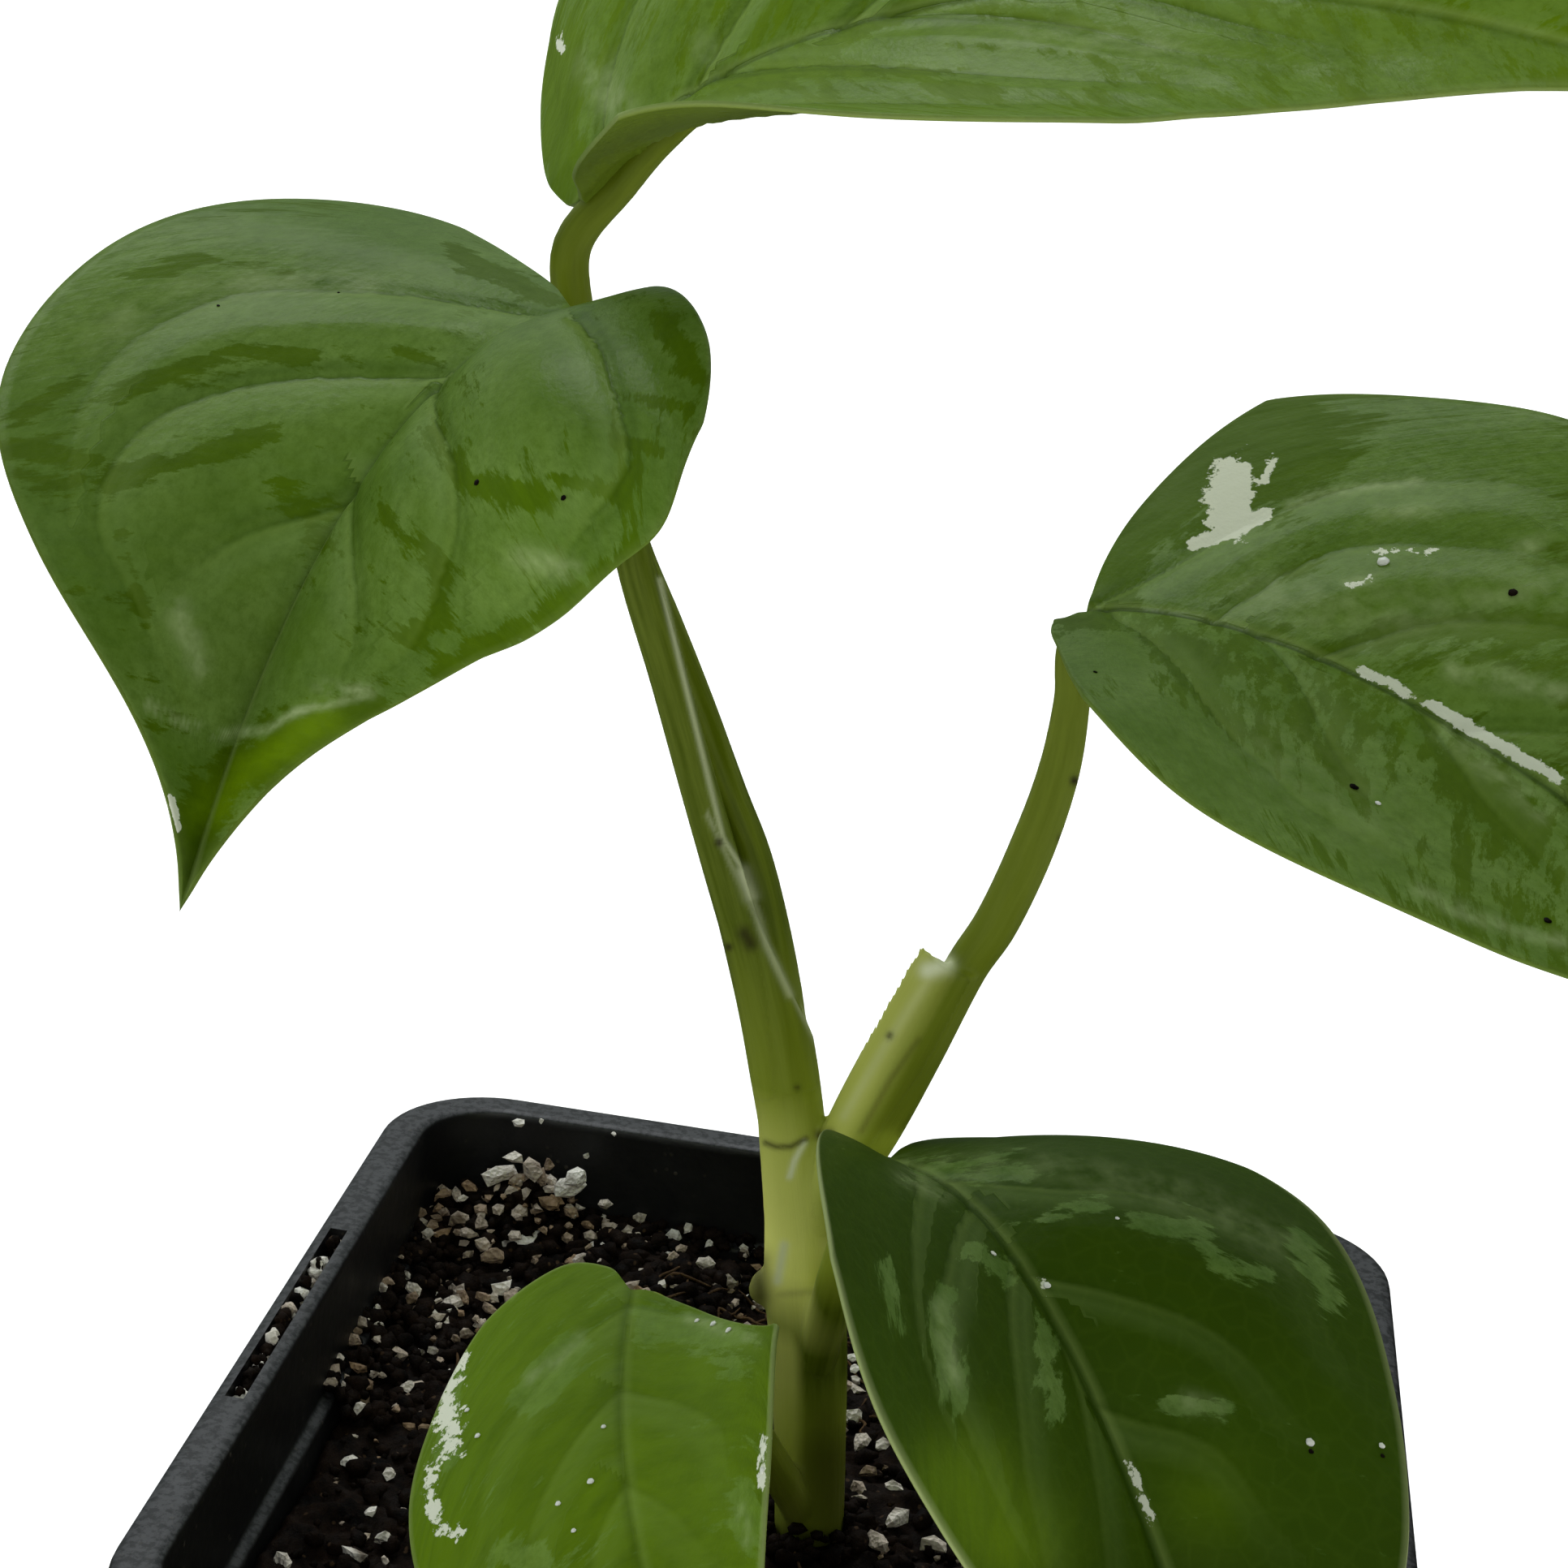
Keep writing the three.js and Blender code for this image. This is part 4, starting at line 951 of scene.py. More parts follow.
def make_soil_bed(material):
    """The bed of peat, with lumps down to a millimetre, and its sides down to the pot's floor."""
    n = SOIL_CELLS
    points = []
    straight = SOIL_HALF - SOIL_CORNER
    for j in range(n + 1):
        for i in range(n + 1):
            u, v = 2 * i / n - 1, 2 * j / n - 1
            far, near = max(abs(u), abs(v)), min(abs(u), abs(v))
            share = 1.0
            if far > 0 and near / far * SOIL_HALF > straight:
                # The square grid is drawn in toward each round corner
                a = 1 + (near / far) ** 2
                b = straight * (1 + near / far)
                share = (b + math.sqrt(b * b - a * (2 * straight ** 2 - SOIL_CORNER ** 2))) / a / SOIL_HALF
            x, y = u * SOIL_HALF * share, v * SOIL_HALF * share
            lumps = 0.9 * noise.noise(Vector((x, y, 3)) * 0.33) + 0.7 * noise.noise(Vector((x, y, 5)) * 0.8)
            lumps += 0.35 * abs(noise.noise(Vector((x, y, 9)) * 2.1))
            points.append((x, y, soil_height(x, y) + lumps - (0.5 if far == 1 else 0)))
    grid = np.arange((n + 1) ** 2).reshape(n + 1, n + 1)
    corners = [grid[:-1, :-1], grid[:-1, 1:], grid[1:, 1:], grid[1:, :-1]]
    faces = np.stack([corner.ravel() for corner in corners], 1).tolist()
    loop = [*grid[0, :-1], *grid[:-1, n], *grid[n, :0:-1], *grid[:0:-1, 0]]
    foot_half = INNER_FOOT - 0.8 - FIT_GAP
    first = len(points)
    for index in loop:
        x, y, _ = points[index]
        points.append((x * foot_half / SOIL_HALF, y * foot_half / SOIL_HALF, FLOOR_THICKNESS + FIT_GAP))
    for k, top in enumerate(loop):
        after = (k + 1) % len(loop)
        faces.append((top, first + k, first + after, loop[after]))
    faces.append(tuple(range(first, first + len(loop)))[::-1])
    add_piece("peat_bed", make_mesh("peat_bed", points, faces), material, "soil")


def bank_point(draw):
    """A random place on the mix that is heaped against the left wall and the back wall."""
    far = draw.random() ** 1.5
    if draw.random() < 0.55:
        x, y = -41 + 9 * far, draw.uniform(2, 38)
    else:
        x, y = draw.uniform(-38, -4), 40.5 - 7 * far
    return x, y, SOIL_TOP + 2.4 * (1 - far) ** 1.4 + draw.uniform(-0.3, 0.3)


def mound_point(draw, depth=4):
    """A random place in the mound in the left back corner, to a depth below its surface."""
    x = np.clip(MOUND[0] + draw.normal(0, 5.5), -39.5, -15)
    y = np.clip(MOUND[1] - 0.2 - abs(draw.normal(0, 4)), 20, 39.3)
    rise = 6.6 * math.exp(-((x - MOUND[0]) / 9) ** 2 - ((y - MOUND[1]) / 6.5) ** 2)
    return x, y, max(SOIL_TOP, SOIL_TOP + rise - depth * draw.random())


def make_crumbs(material):
    """Crumbs of peat and bark: on the bed and thickest on the heap, along the two walls, in the mound, and
    banked up round the foot of the stem."""
    draw = np.random.default_rng(5)
    kinds = [rock_points(k, 2, 0.3) for k in range(6)]
    small = [rock_points(k, 1, 0.3) for k in range(6)]
    flat = [1, 0.8, 0.7]
    lumps = []
    while len(lumps) < BED_CRUMBS:
        heaped = len(lumps) < HEAP_CRUMBS
        x = HEAP[0] + draw.normal(0, 7) if heaped else draw.uniform(-SOIL_HALF, SOIL_HALF)
        y = HEAP[1] - 2 + draw.normal(0, 4) if heaped else draw.uniform(-SOIL_HALF, SOIL_HALF)
        if not in_pot(x, y, 1.2) or from_stem(x, y) < 3.4:
            continue
        size = 0.3 + 0.9 * draw.random() ** 2.5
        points, faces = (kinds if size > 0.75 else small)[draw.integers(6)]
        points = turned(points * [1, draw.uniform(0.6, 1), draw.uniform(0.5, 0.9)], draw) * size
        lumps.append((points + [x, y, soil_height(x, y) + 0.15 + size * 0.25], faces))
    banked = ((WALL_CRUMBS, 0.4, 1.1, bank_point), (MOUND_CRUMBS, 0.5, 1.2, mound_point))
    for count, least, most, random_place in banked:
        for _ in range(count):
            size = draw.uniform(least, most)
            points, faces = small[draw.integers(6)]
            lumps.append((turned(points * flat, draw) * size + random_place(draw), faces))
    nearest, furthest = 2.9, 4.8
    for _ in range(FOOT_CRUMBS):
        size = draw.uniform(0.4, 1.0)
        reach = draw.uniform(nearest, furthest)
        angle = draw.uniform(0, 2 * math.pi)
        points, faces = small[draw.integers(6)]
        x, y = STEM_AT_SOIL[0] + reach * math.cos(angle), STEM_AT_SOIL[1] + reach * math.sin(angle)
        z = soil_height(x, y) + 0.2 + (furthest - reach) * draw.random()
        lumps.append((turned(points * flat, draw) * size + [x, y, z], faces))
    points, faces = gather(lumps)
    add_piece("peat_crumbs", make_mesh("peat_crumbs", points, faces), material, "soil")


def make_fibres(material):
    """Short bent fibres of peat moss and bark lying on the bed."""
    draw = np.random.default_rng(8)
    shape = bmesh.new()
    count = 0
    while count < FIBRES:
        x, y = draw.uniform(-SOIL_HALF, SOIL_HALF, 2)
        if count < HEAP_FIBRES:
            x, y = -9 + draw.normal(0, 6), 27 + draw.normal(0, 5)
        if not in_pot(x, y, 5) or from_stem(x, y) < 5:
            continue
        angle, length = draw.uniform(0, 6.28), draw.uniform(2.5, 7)
        line = []
        for t in np.linspace(-0.5, 0.5, 5):
            px = x + math.cos(angle) * length * t + draw.normal(0, 0.25)
            py = y + math.sin(angle) * length * t + draw.normal(0, 0.25)
            line.append((px, py, soil_height(px, py) + 0.55 + draw.normal(0, 0.3)))
        add_stalk(shape, line, [0.06, 0.12, 0.14, 0.1, 0.05], sides=6, steps=12)
        count += 1
    made = object_from(shape, "fibres")
    mesh = made.data
    bpy.data.objects.remove(made)
    add_piece("peat_fibres", mesh, material, "soil")


# Grains of perlite that stand out, as pixels of the photograph, size in millimetres, and 0 for white to 1
# for brown
PERLITE_SEEN = [
    (591, 1502, 0.9, 0.7), (642, 1538, 1.7, 0.1), (452, 1523, 0.75, 0.3), (483, 1536, 0.75, 0.1),
    (494, 1510, 1.1, 0.8),
    (504, 1575, 1.3, 0.7), (482, 1590, 0.7, 0.5), (555, 1606, 0.9, 0.4), (532, 1618, 0.5, 0.2),
    (762, 1508, 0.9, 0.2), (811, 1521, 0.8, 0.3), (830, 1529, 0.8, 0.1), (712, 1494, 0.7, 0.4),
    (714, 1550, 0.9, 0.5), (485, 1668, 1.0, 0.7), (519, 1665, 0.6, 0.3), (440, 1730, 0.9, 0.9),
    (465, 1735, 0.6, 0.6), (503, 1708, 0.7, 0.4), (391, 1806, 1.2, 0.6), (430, 1800, 0.6, 0.1),
    (456, 1864, 0.7, 0.1), (474, 1900, 0.7, 0.2), (438, 1918, 1.0, 0.2), (349, 1924, 0.8, 0.3),
    (480, 1815, 0.6, 0.3), (870, 1488, 0.7, 0.5), (912, 1482, 0.5, 0.2), (932, 1483, 0.5, 0.3),
    (910, 1498, 0.5, 0.3), (907, 1509, 0.5, 0.1), (815, 1580, 0.7, 0.3), (1050, 1678, 0.6, 0.0),
    (1053, 1690, 0.5, 0.1), (1054, 1702, 0.5, 0.3), (1056, 1712, 0.6, 0.5), (1053, 1746, 0.8, 0.3),
    (1062, 1775, 0.8, 0.5), (1086, 1781, 0.7, 0.3), (1058, 1835, 0.7, 0.7), (1102, 1833, 0.6, 0.3),
    (1105, 1870, 0.9, 0.3), (1082, 1898, 1.1, 0.6), (1152, 1905, 0.9, 0.5), (1060, 1850, 0.6, 0.6),
]
# Grains on the mound in the left back corner
PERLITE_ON_MOUND = [
    (700, 1464, 1.5, 0.0), (712, 1450, 1.1, 0.0), (617, 1449, 1.25, 0.25), (619, 1473, 0.95, 0.1),
    (632, 1426, 1.0, 0.3), (655, 1440, 1.2, 0.6), (668, 1452, 1.0, 0.8), (646, 1486, 1.1, 0.8),
    (640, 1456, 0.9, 0.7), (676, 1436, 0.8, 0.9), (596, 1478, 0.8, 0.8), (745, 1484, 0.6, 0.5),
]
MOUND_FRONT = 37
# Bits of it that stick to the back wall
BACK_WALL = 40.9
PERLITE_ON_WALL = [
    (640, 1384, 0.55), (667, 1381, 0.3), (722, 1424, 0.35), (756, 1397, 0.25), (560, 1378, 0.25),
]


def make_perlite(material):
    """Grains of perlite: those that the photograph shows, and finer ones in the mound, along the walls and
    all over the bed."""
    draw = np.random.default_rng(21)
    kinds = [rock_points(k + 20, 1, 0.75) for k in range(14)]
    lumps, tints = [], []

    def drop(x, y, z, size, tint):
        points, faces = kinds[draw.integers(14)]
        points = turned(points * [1.15, draw.uniform(0.7, 1), draw.uniform(0.6, 0.9)], draw) * size
        lumps.append((points + [x, y, z], faces))
        tints.append(np.full(len(points), tint))

    for px, py, size, tint in PERLITE_SEEN:
        x, y, _ = seen_at(px, py, SOIL_TOP + 0.8)
        x, y, _ = seen_at(px, py, soil_height(x, y) + 0.7 * size)
        if in_pot(x, y, size * 0.7):
            drop(x, y, soil_height(x, y) + 0.7 * size, size, tint)
    for px, py, size, tint in PERLITE_ON_MOUND:
        drop(*seen_at(px, py, MOUND_FRONT, axis=1), size, tint)
    for px, py, size in PERLITE_ON_WALL:
        drop(*seen_at(px, py, BACK_WALL - 0.5 * size, axis=1), size, 0.1)
    for _ in range(MOUND_GRAINS):
        x, y, z = mound_point(draw, 0)
        drop(x, y, z + 0.3, draw.uniform(0.3, 0.9), draw.random() ** 0.35)
    for _ in range(WALL_GRAINS):
        x, y, z = bank_point(draw)
        drop(x, y, z + 0.4, draw.uniform(0.25, 0.75), draw.random() ** 0.6)
    while len(lumps) < GRAINS_IN_ALL:
        x, y = draw.uniform(-SOIL_HALF, SOIL_HALF, 2)
        if len(lumps) < GRAINS_UP_TO_HEAP:
            x, y = HEAP[0] - 6 + draw.normal(0, 10), HEAP[1] - 6 + draw.normal(0, 8)
        size = 0.22 + 0.7 * draw.random() ** 2.6
        if in_pot(x, y, size + 0.8) and from_stem(x, y) >= 4.2:
            drop(x, y, soil_height(x, y) + size * draw.uniform(0.4, 1), size, draw.random() ** 0.5)
    points, faces = gather(lumps)
    mesh = make_mesh("perlite", points, faces)
    add_values(mesh, "tint", np.concatenate(tints))
    add_piece("perlite", mesh, material, "soil", crease=24)


def make_slot_crumbs(material, name, count, seed, largest):
    """Crumbs that fell into the two slots of the rim."""
    draw = np.random.default_rng(seed)
    kinds = [rock_points(k + 40, 2, 0.4) for k in range(5)]
    lumps = []
    for _ in range(count):
        side = draw.choice([-1, 1])
        size = draw.uniform(0.3, largest)
        points, faces = kinds[draw.integers(5)]
        x = side * SLOT_X + draw.uniform(-1, 1) * max(SLOT_WIDTH / 2 - size * 1.2, 0)
        y = draw.uniform(-1, 1) * (SLOT_LENGTH / 2 - 1)
        z = POT_HEIGHT - SLOT_DEPTH + size + 2.9 * draw.random()
        lumps.append((turned(points, draw) * size + [x, y, z], faces))
    points, faces = gather(lumps)
    mesh = make_mesh(name, points, faces)
    add_values(mesh, "tint", np.interp(np.arange(len(points)), [0, len(points)], [0.0, 0.7]))
    add_piece(name, mesh, material, "soil")


# Plant

HEART_CURVE = smooth_line([(x, y, 0) for x, y in HEART], steps=160, even=True)[0]


def outline_at(share):
    """A point of the smooth outline, for a share of the way from the notch to the tip."""
    place = share * (len(HEART_CURVE) - 1)
    steps = np.arange(len(HEART_CURVE))
    return np.interp(place, steps, HEART_CURVE[:, 0]), np.interp(place, steps, HEART_CURVE[:, 1])


class Blade:
    """The middle of a blade's sheet: along is 0 at the notch and 1 at the tip, across is -1 to 1."""

    def __init__(self, name):
        self.name = name
        self.leaf = LEAVES[name]
        self.control = np.array(self.leaf["midrib"], float)
        steps = np.linspace(0, 1, 201)
        self.length = np.linalg.norm(np.diff(self.midrib(steps), axis=0), axis=1).sum()
        self.veins = [self.drawn_vein(line) for line in SIDE_VEINS[name]]

    def midrib(self, t):
        """Points of the midrib's curve."""
        t = np.asarray(t, float)[..., None]
        a, b, c, d = self.control
        return (1 - t) ** 3 * a + 3 * (1 - t) ** 2 * t * b + 3 * (1 - t) * t ** 2 * c + t ** 3 * d

    def direction(self, t):
        """The way that the midrib goes there."""
        t = np.asarray(t, float)[..., None]
        a, b, c, d = self.control
        return unit(3 * (1 - t) ** 2 * (b - a) + 6 * (1 - t) * t * (c - b) + 3 * t ** 2 * (d - c))

    def drawn_vein(self, line):
        """A side vein as close points, in millimetres along and across."""
        points = smooth_line([(x, y, 0) for x, y in line], steps=60, even=True)[0][:, :2]
        return points * [self.length, self.leaf["half_width"]]

    def vein_gap(self, along, across):
        """Distance in millimetres to the nearest side vein, the share of the way along that vein, and
        which side of it this is, 1 toward the tip and -1 toward the base."""
        here = np.stack([along * self.length, across * self.leaf["half_width"]], -1)
        best = np.full(along.shape, 1e9)
        where = np.zeros(along.shape)
        side = np.ones(along.shape)
        for vein in self.veins:
            gaps = np.linalg.norm(here[..., None, :] - vein, axis=-1)
            nearest = gaps.argmin(-1)
            gap = gaps.min(-1)
            course = np.gradient(vein, axis=0)[nearest]
            off = here - vein[nearest]
            turn = np.sign(course[..., 1] * off[..., 0] - course[..., 0] * off[..., 1])
            where = np.where(gap < best, nearest / len(vein), where)
            side = np.where(gap < best, turn * np.where(across < 0, -1, 1), side)
            best = np.minimum(best, gap)
        return best, where, side

    def middle(self, along, across, relief=True):
        """Points of the sheet: rolled about its midrib, folded and curled on each side, and wavy."""
        leaf = self.leaf
        t = np.clip(along, 0, 1)
        tangent = self.direction(t)
        level = unit(np.cross(tangent, [0, 0, 1.0]))
        raised = np.cross(level, tangent)
        roll = np.radians(lerp(leaf["roll"][0], leaf["roll"][1], t))[..., None]
        side = level * np.cos(roll) + raised * np.sin(roll)
        normal = np.cross(side, tangent)
        left = across < 0
        ease = 1 - (1 - t) ** leaf["fold_ease"]
        share = np.abs(across)
        fold = np.where(left, lerp(*leaf["fold_left"], ease), lerp(*leaf["fold_right"], ease))
        curl = np.where(left, leaf["curl"][0], leaf["curl"][1])
        tilt = np.radians(fold - 0.5 * curl * share)
        reach = share * leaf["half_width"]
        wave = 0.5 * share ** 3 * np.sin(2 * math.pi * (2.4 * along + np.where(left, 0.2, 0.55)))
        lift = reach * np.sin(tilt) + wave * np.sin(math.pi * np.minimum(1, t + 0.2))
        if relief:
            lift = lift + self.relief(along, across)
        reached = (np.sign(across) * reach * np.cos(tilt))[..., None]
        ahead = ((along - t) * self.length)[..., None]
        return self.midrib(t) + tangent * ahead + side * reached + normal * lift[..., None]

    def relief(self, along, across):
        """The blade bulges up between its side veins and sinks along them."""
        gap, where, _ = self.vein_gap(along, across)
        rib = np.abs(across) * self.leaf["half_width"]
        strength = np.clip(1.15 - where, 0, 1)
        bulge = BULGE[0] * (1 - np.exp(-(gap / BULGE[1]) ** 2)) * np.clip(rib / 5, 0, 1) - 0.35
        groove = VEIN_GROOVE[0] * np.exp(-(gap / VEIN_GROOVE[1]) ** 2) * strength
        keel_groove = MIDRIB_GROOVE[0] * np.exp(-(rib / MIDRIB_GROOVE[1]) ** 2)
        return (bulge * np.clip(rib / 3, 0, 1) - groove) * MARKS[self.name]["veins"] - keel_groove

    def normals(self, along, across):
        """The way that the smooth sheet faces, up from its top."""
        ahead = self.middle(along + 0.004, across, False) - self.middle(along - 0.004, across, False)
        aside = self.middle(along, across + 0.05, False) - self.middle(along, across - 0.05, False)
        return unit(np.cross(aside, ahead))


def blade_faces(wide):
    """Faces of a closed blade that is so many points wide. Its points are those of the top in rows from
    base to tip, then those of the underside, then the left and right bead of each row."""
    count = (RIB_ROWS + 1) * wide

    def at(i, k):
        return RIB_ROWS * wide if i == RIB_ROWS else i * wide + k

    def bead_at(i, side):
        return 2 * count + 2 * i + side

    faces = []
    for i in range(RIB_ROWS):
        for k in range(wide - 1):
            a, b, c, d = at(i, k), at(i, k + 1), at(i + 1, k + 1), at(i + 1, k)
            if i == RIB_ROWS - 1:
                faces += [(a, b, c), (a + count, c + count, b + count)]
            else:
                faces += [(a, b, c, d), (a + count, d + count, c + count, b + count)]
        for side, k in enumerate((0, wide - 1)):
            a, d, m, n = at(i, k), at(i + 1, k), bead_at(i, side), bead_at(i + 1, side)
            strips = [(a, d, n, m), (m, n, d + count, a + count)]
            faces += [f[::-1] for f in strips] if side else strips
    for k in range(wide - 1):
        faces.append((k, k + count, k + 1 + count, k + 1))
    for side, k in enumerate((0, wide - 1)):
        cap = (k, bead_at(0, side), k + count)
        faces.append(cap[::-1] if side else cap)
    return faces


def make_blade(blade, material):
    """A blade as one closed sheet with a rounded margin and a keel below its midrib. Its rows run from the
    midrib out to the rim, and crowd together at the notch."""
    leaf = blade.leaf
    half = np.linspace(0, 1, HALF_COLUMNS + 1)[1:]
    columns = np.concatenate([-half[::-1], [0], half])
    share = np.linspace(0, 1, RIB_ROWS + 1)
    rim_x, rim_y = outline_at(np.maximum(share, 0.02))
    rim_across = np.maximum(rim_y, 0) ** leaf["fullness"]
    v, row = np.meshgrid(columns, np.arange(RIB_ROWS + 1))
    side = (v >= 0).astype(int)
    lobes = np.array(leaf["lobes"])[side]
    slant = np.array(leaf["slant"])[side]
    rim_x, rim_across, share = rim_x[row], rim_across[row], share[row]
    lobed = np.where(rim_x < 0, rim_x * lobes, rim_x)
    rim_along = lobed + slant * rim_across * (1 - lobed) ** 2
    crowding = 2.4
    along = lerp(share ** crowding, rim_along, np.abs(v))
    across = v * rim_across
    middle = blade.middle(along, across)
    normal = blade.normals(along, across)
    thick = lerp(BLADE_THICKNESS, MARGIN_THICKNESS, np.abs(v) ** 2)[..., None]
    rib = np.abs(across) * leaf["half_width"]
    keel = (KEEL_HEIGHT * (1 - 0.85 * share) * np.exp(-(rib / KEEL_WIDTH) ** 2))[..., None]
    gap, where, vein_side = blade.vein_gap(along, across)
    side_keel = SIDE_KEEL_HEIGHT * np.exp(-(gap / 0.6) ** 2) * np.clip(1.1 - where, 0, 1)
    side_keel = side_keel * np.clip(4 - 4 * np.abs(v), 0, 1)
    side_keel = (side_keel * np.clip(along / 0.1, 0, 1))[..., None]
    top = middle + normal * thick / 2
    under = middle - normal * (thick / 2 + keel + side_keel)
    outward = unit(middle[:, [0, -1]] - middle[:, [1, -2]])
    bead = middle[:, [0, -1]] + outward * MARGIN_BEAD
    points = np.vstack([top.reshape(-1, 3), under.reshape(-1, 3), bead.reshape(-1, 3)])

    def everywhere(values, on_bead):
        """Values of the top, the same for the underside, and those of the beads along the margin."""
        kind = values.shape[2:]
        on_bead = np.broadcast_to(on_bead, bead.shape[:2] + kind)
        return np.concatenate([part.reshape(-1, *kind) for part in (values, values, on_bead)])

    # What the material reads: places in millimetres on the sheet and along its ribs, then veins and margin,
    # then the marks that the photograph shows
    mesh = bpy.data.meshes.new("blade_" + blade.name)
    mesh.from_pydata((points * MM).tolist(), [], blade_faces(len(columns)))
    marks = MARKS[blade.name]
    pale_margin = MARGIN_PALENESS[blade.name]
    apart = np.full(along.shape, ord(blade.name) * 9.7)
    sheet = np.stack([along * blade.length, across * leaf["half_width"], apart], -1)
    ribs = sheet.copy()
    ribs[..., 0] -= (0.16 * np.abs(across) + 0.22 * across ** 4) * blade.length
    ribs[..., 1] *= 0.4
    to_edge = np.minimum((1 - np.abs(v)) * rim_across * leaf["half_width"], (1 - share) * blade.length)
    rim_glow = 0.5 * pale_margin * np.clip(1.2 - to_edge / 0.25, 0, 1)
    vein = np.stack([np.clip(gap, 0, 3) * vein_side, gap, np.clip(1.15 - where, 0, 1) * marks["veins"]], -1)
    seen = photo_pixels(top)
    strokes = {kind: stroked(seen, marks.get(kind, [])) for kind in STROKE_KINDS}
    crease = lerp(*marks["crease"], np.clip(along, 0, 1))
    ridge = np.full(along.shape, marks["ridge"])
    values = {
        "sheet": (sheet, sheet[:, [0, -1]]),
        "ribs": (ribs, ribs[:, [0, -1]]),
        "vein": (vein, 3.0),
        "margin": (rim_glow, pale_margin),
        "wet": (marks["wetness"] + 0.3 * strokes["wet"] - 0.3 * strokes["dry"], 0.0),
        "glint": (strokes["glint"], 0.0),
        "sheen": (strokes["sheen"], 0.0),
        "deep": (np.full(along.shape, marks["deep"]), marks["deep"]),
        "midrib": (np.stack([crease, ridge, strokes["gleam"]], -1), 0.0),
        "lime": (marks["lime"] + 0.5 * strokes["limy"], 0.3),
    }
    for name, (on_sheet, on_bead) in values.items():
        add_values(mesh, name, everywhere(on_sheet, on_bead))
    on_under = np.zeros(len(points))
    on_under[along.size:2 * along.size] = 1
    add_values(mesh, "under", on_under)
    welded = bmesh.new()
    welded.from_mesh(mesh)
    bmesh.ops.delete(welded, geom=[p for p in welded.verts if not p.link_faces], context="VERTS")
    bmesh.ops.remove_doubles(welded, verts=welded.verts, dist=1e-7)
    bmesh.ops.recalc_face_normals(welded, faces=welded.faces)
    welded.to_mesh(mesh)
    welded.free()
    blade.top = top.reshape(-1, 3)
    blade.top_normals = normal.reshape(-1, 3)
    add_piece("blade_" + blade.name, mesh, material, "plant", crease=75)


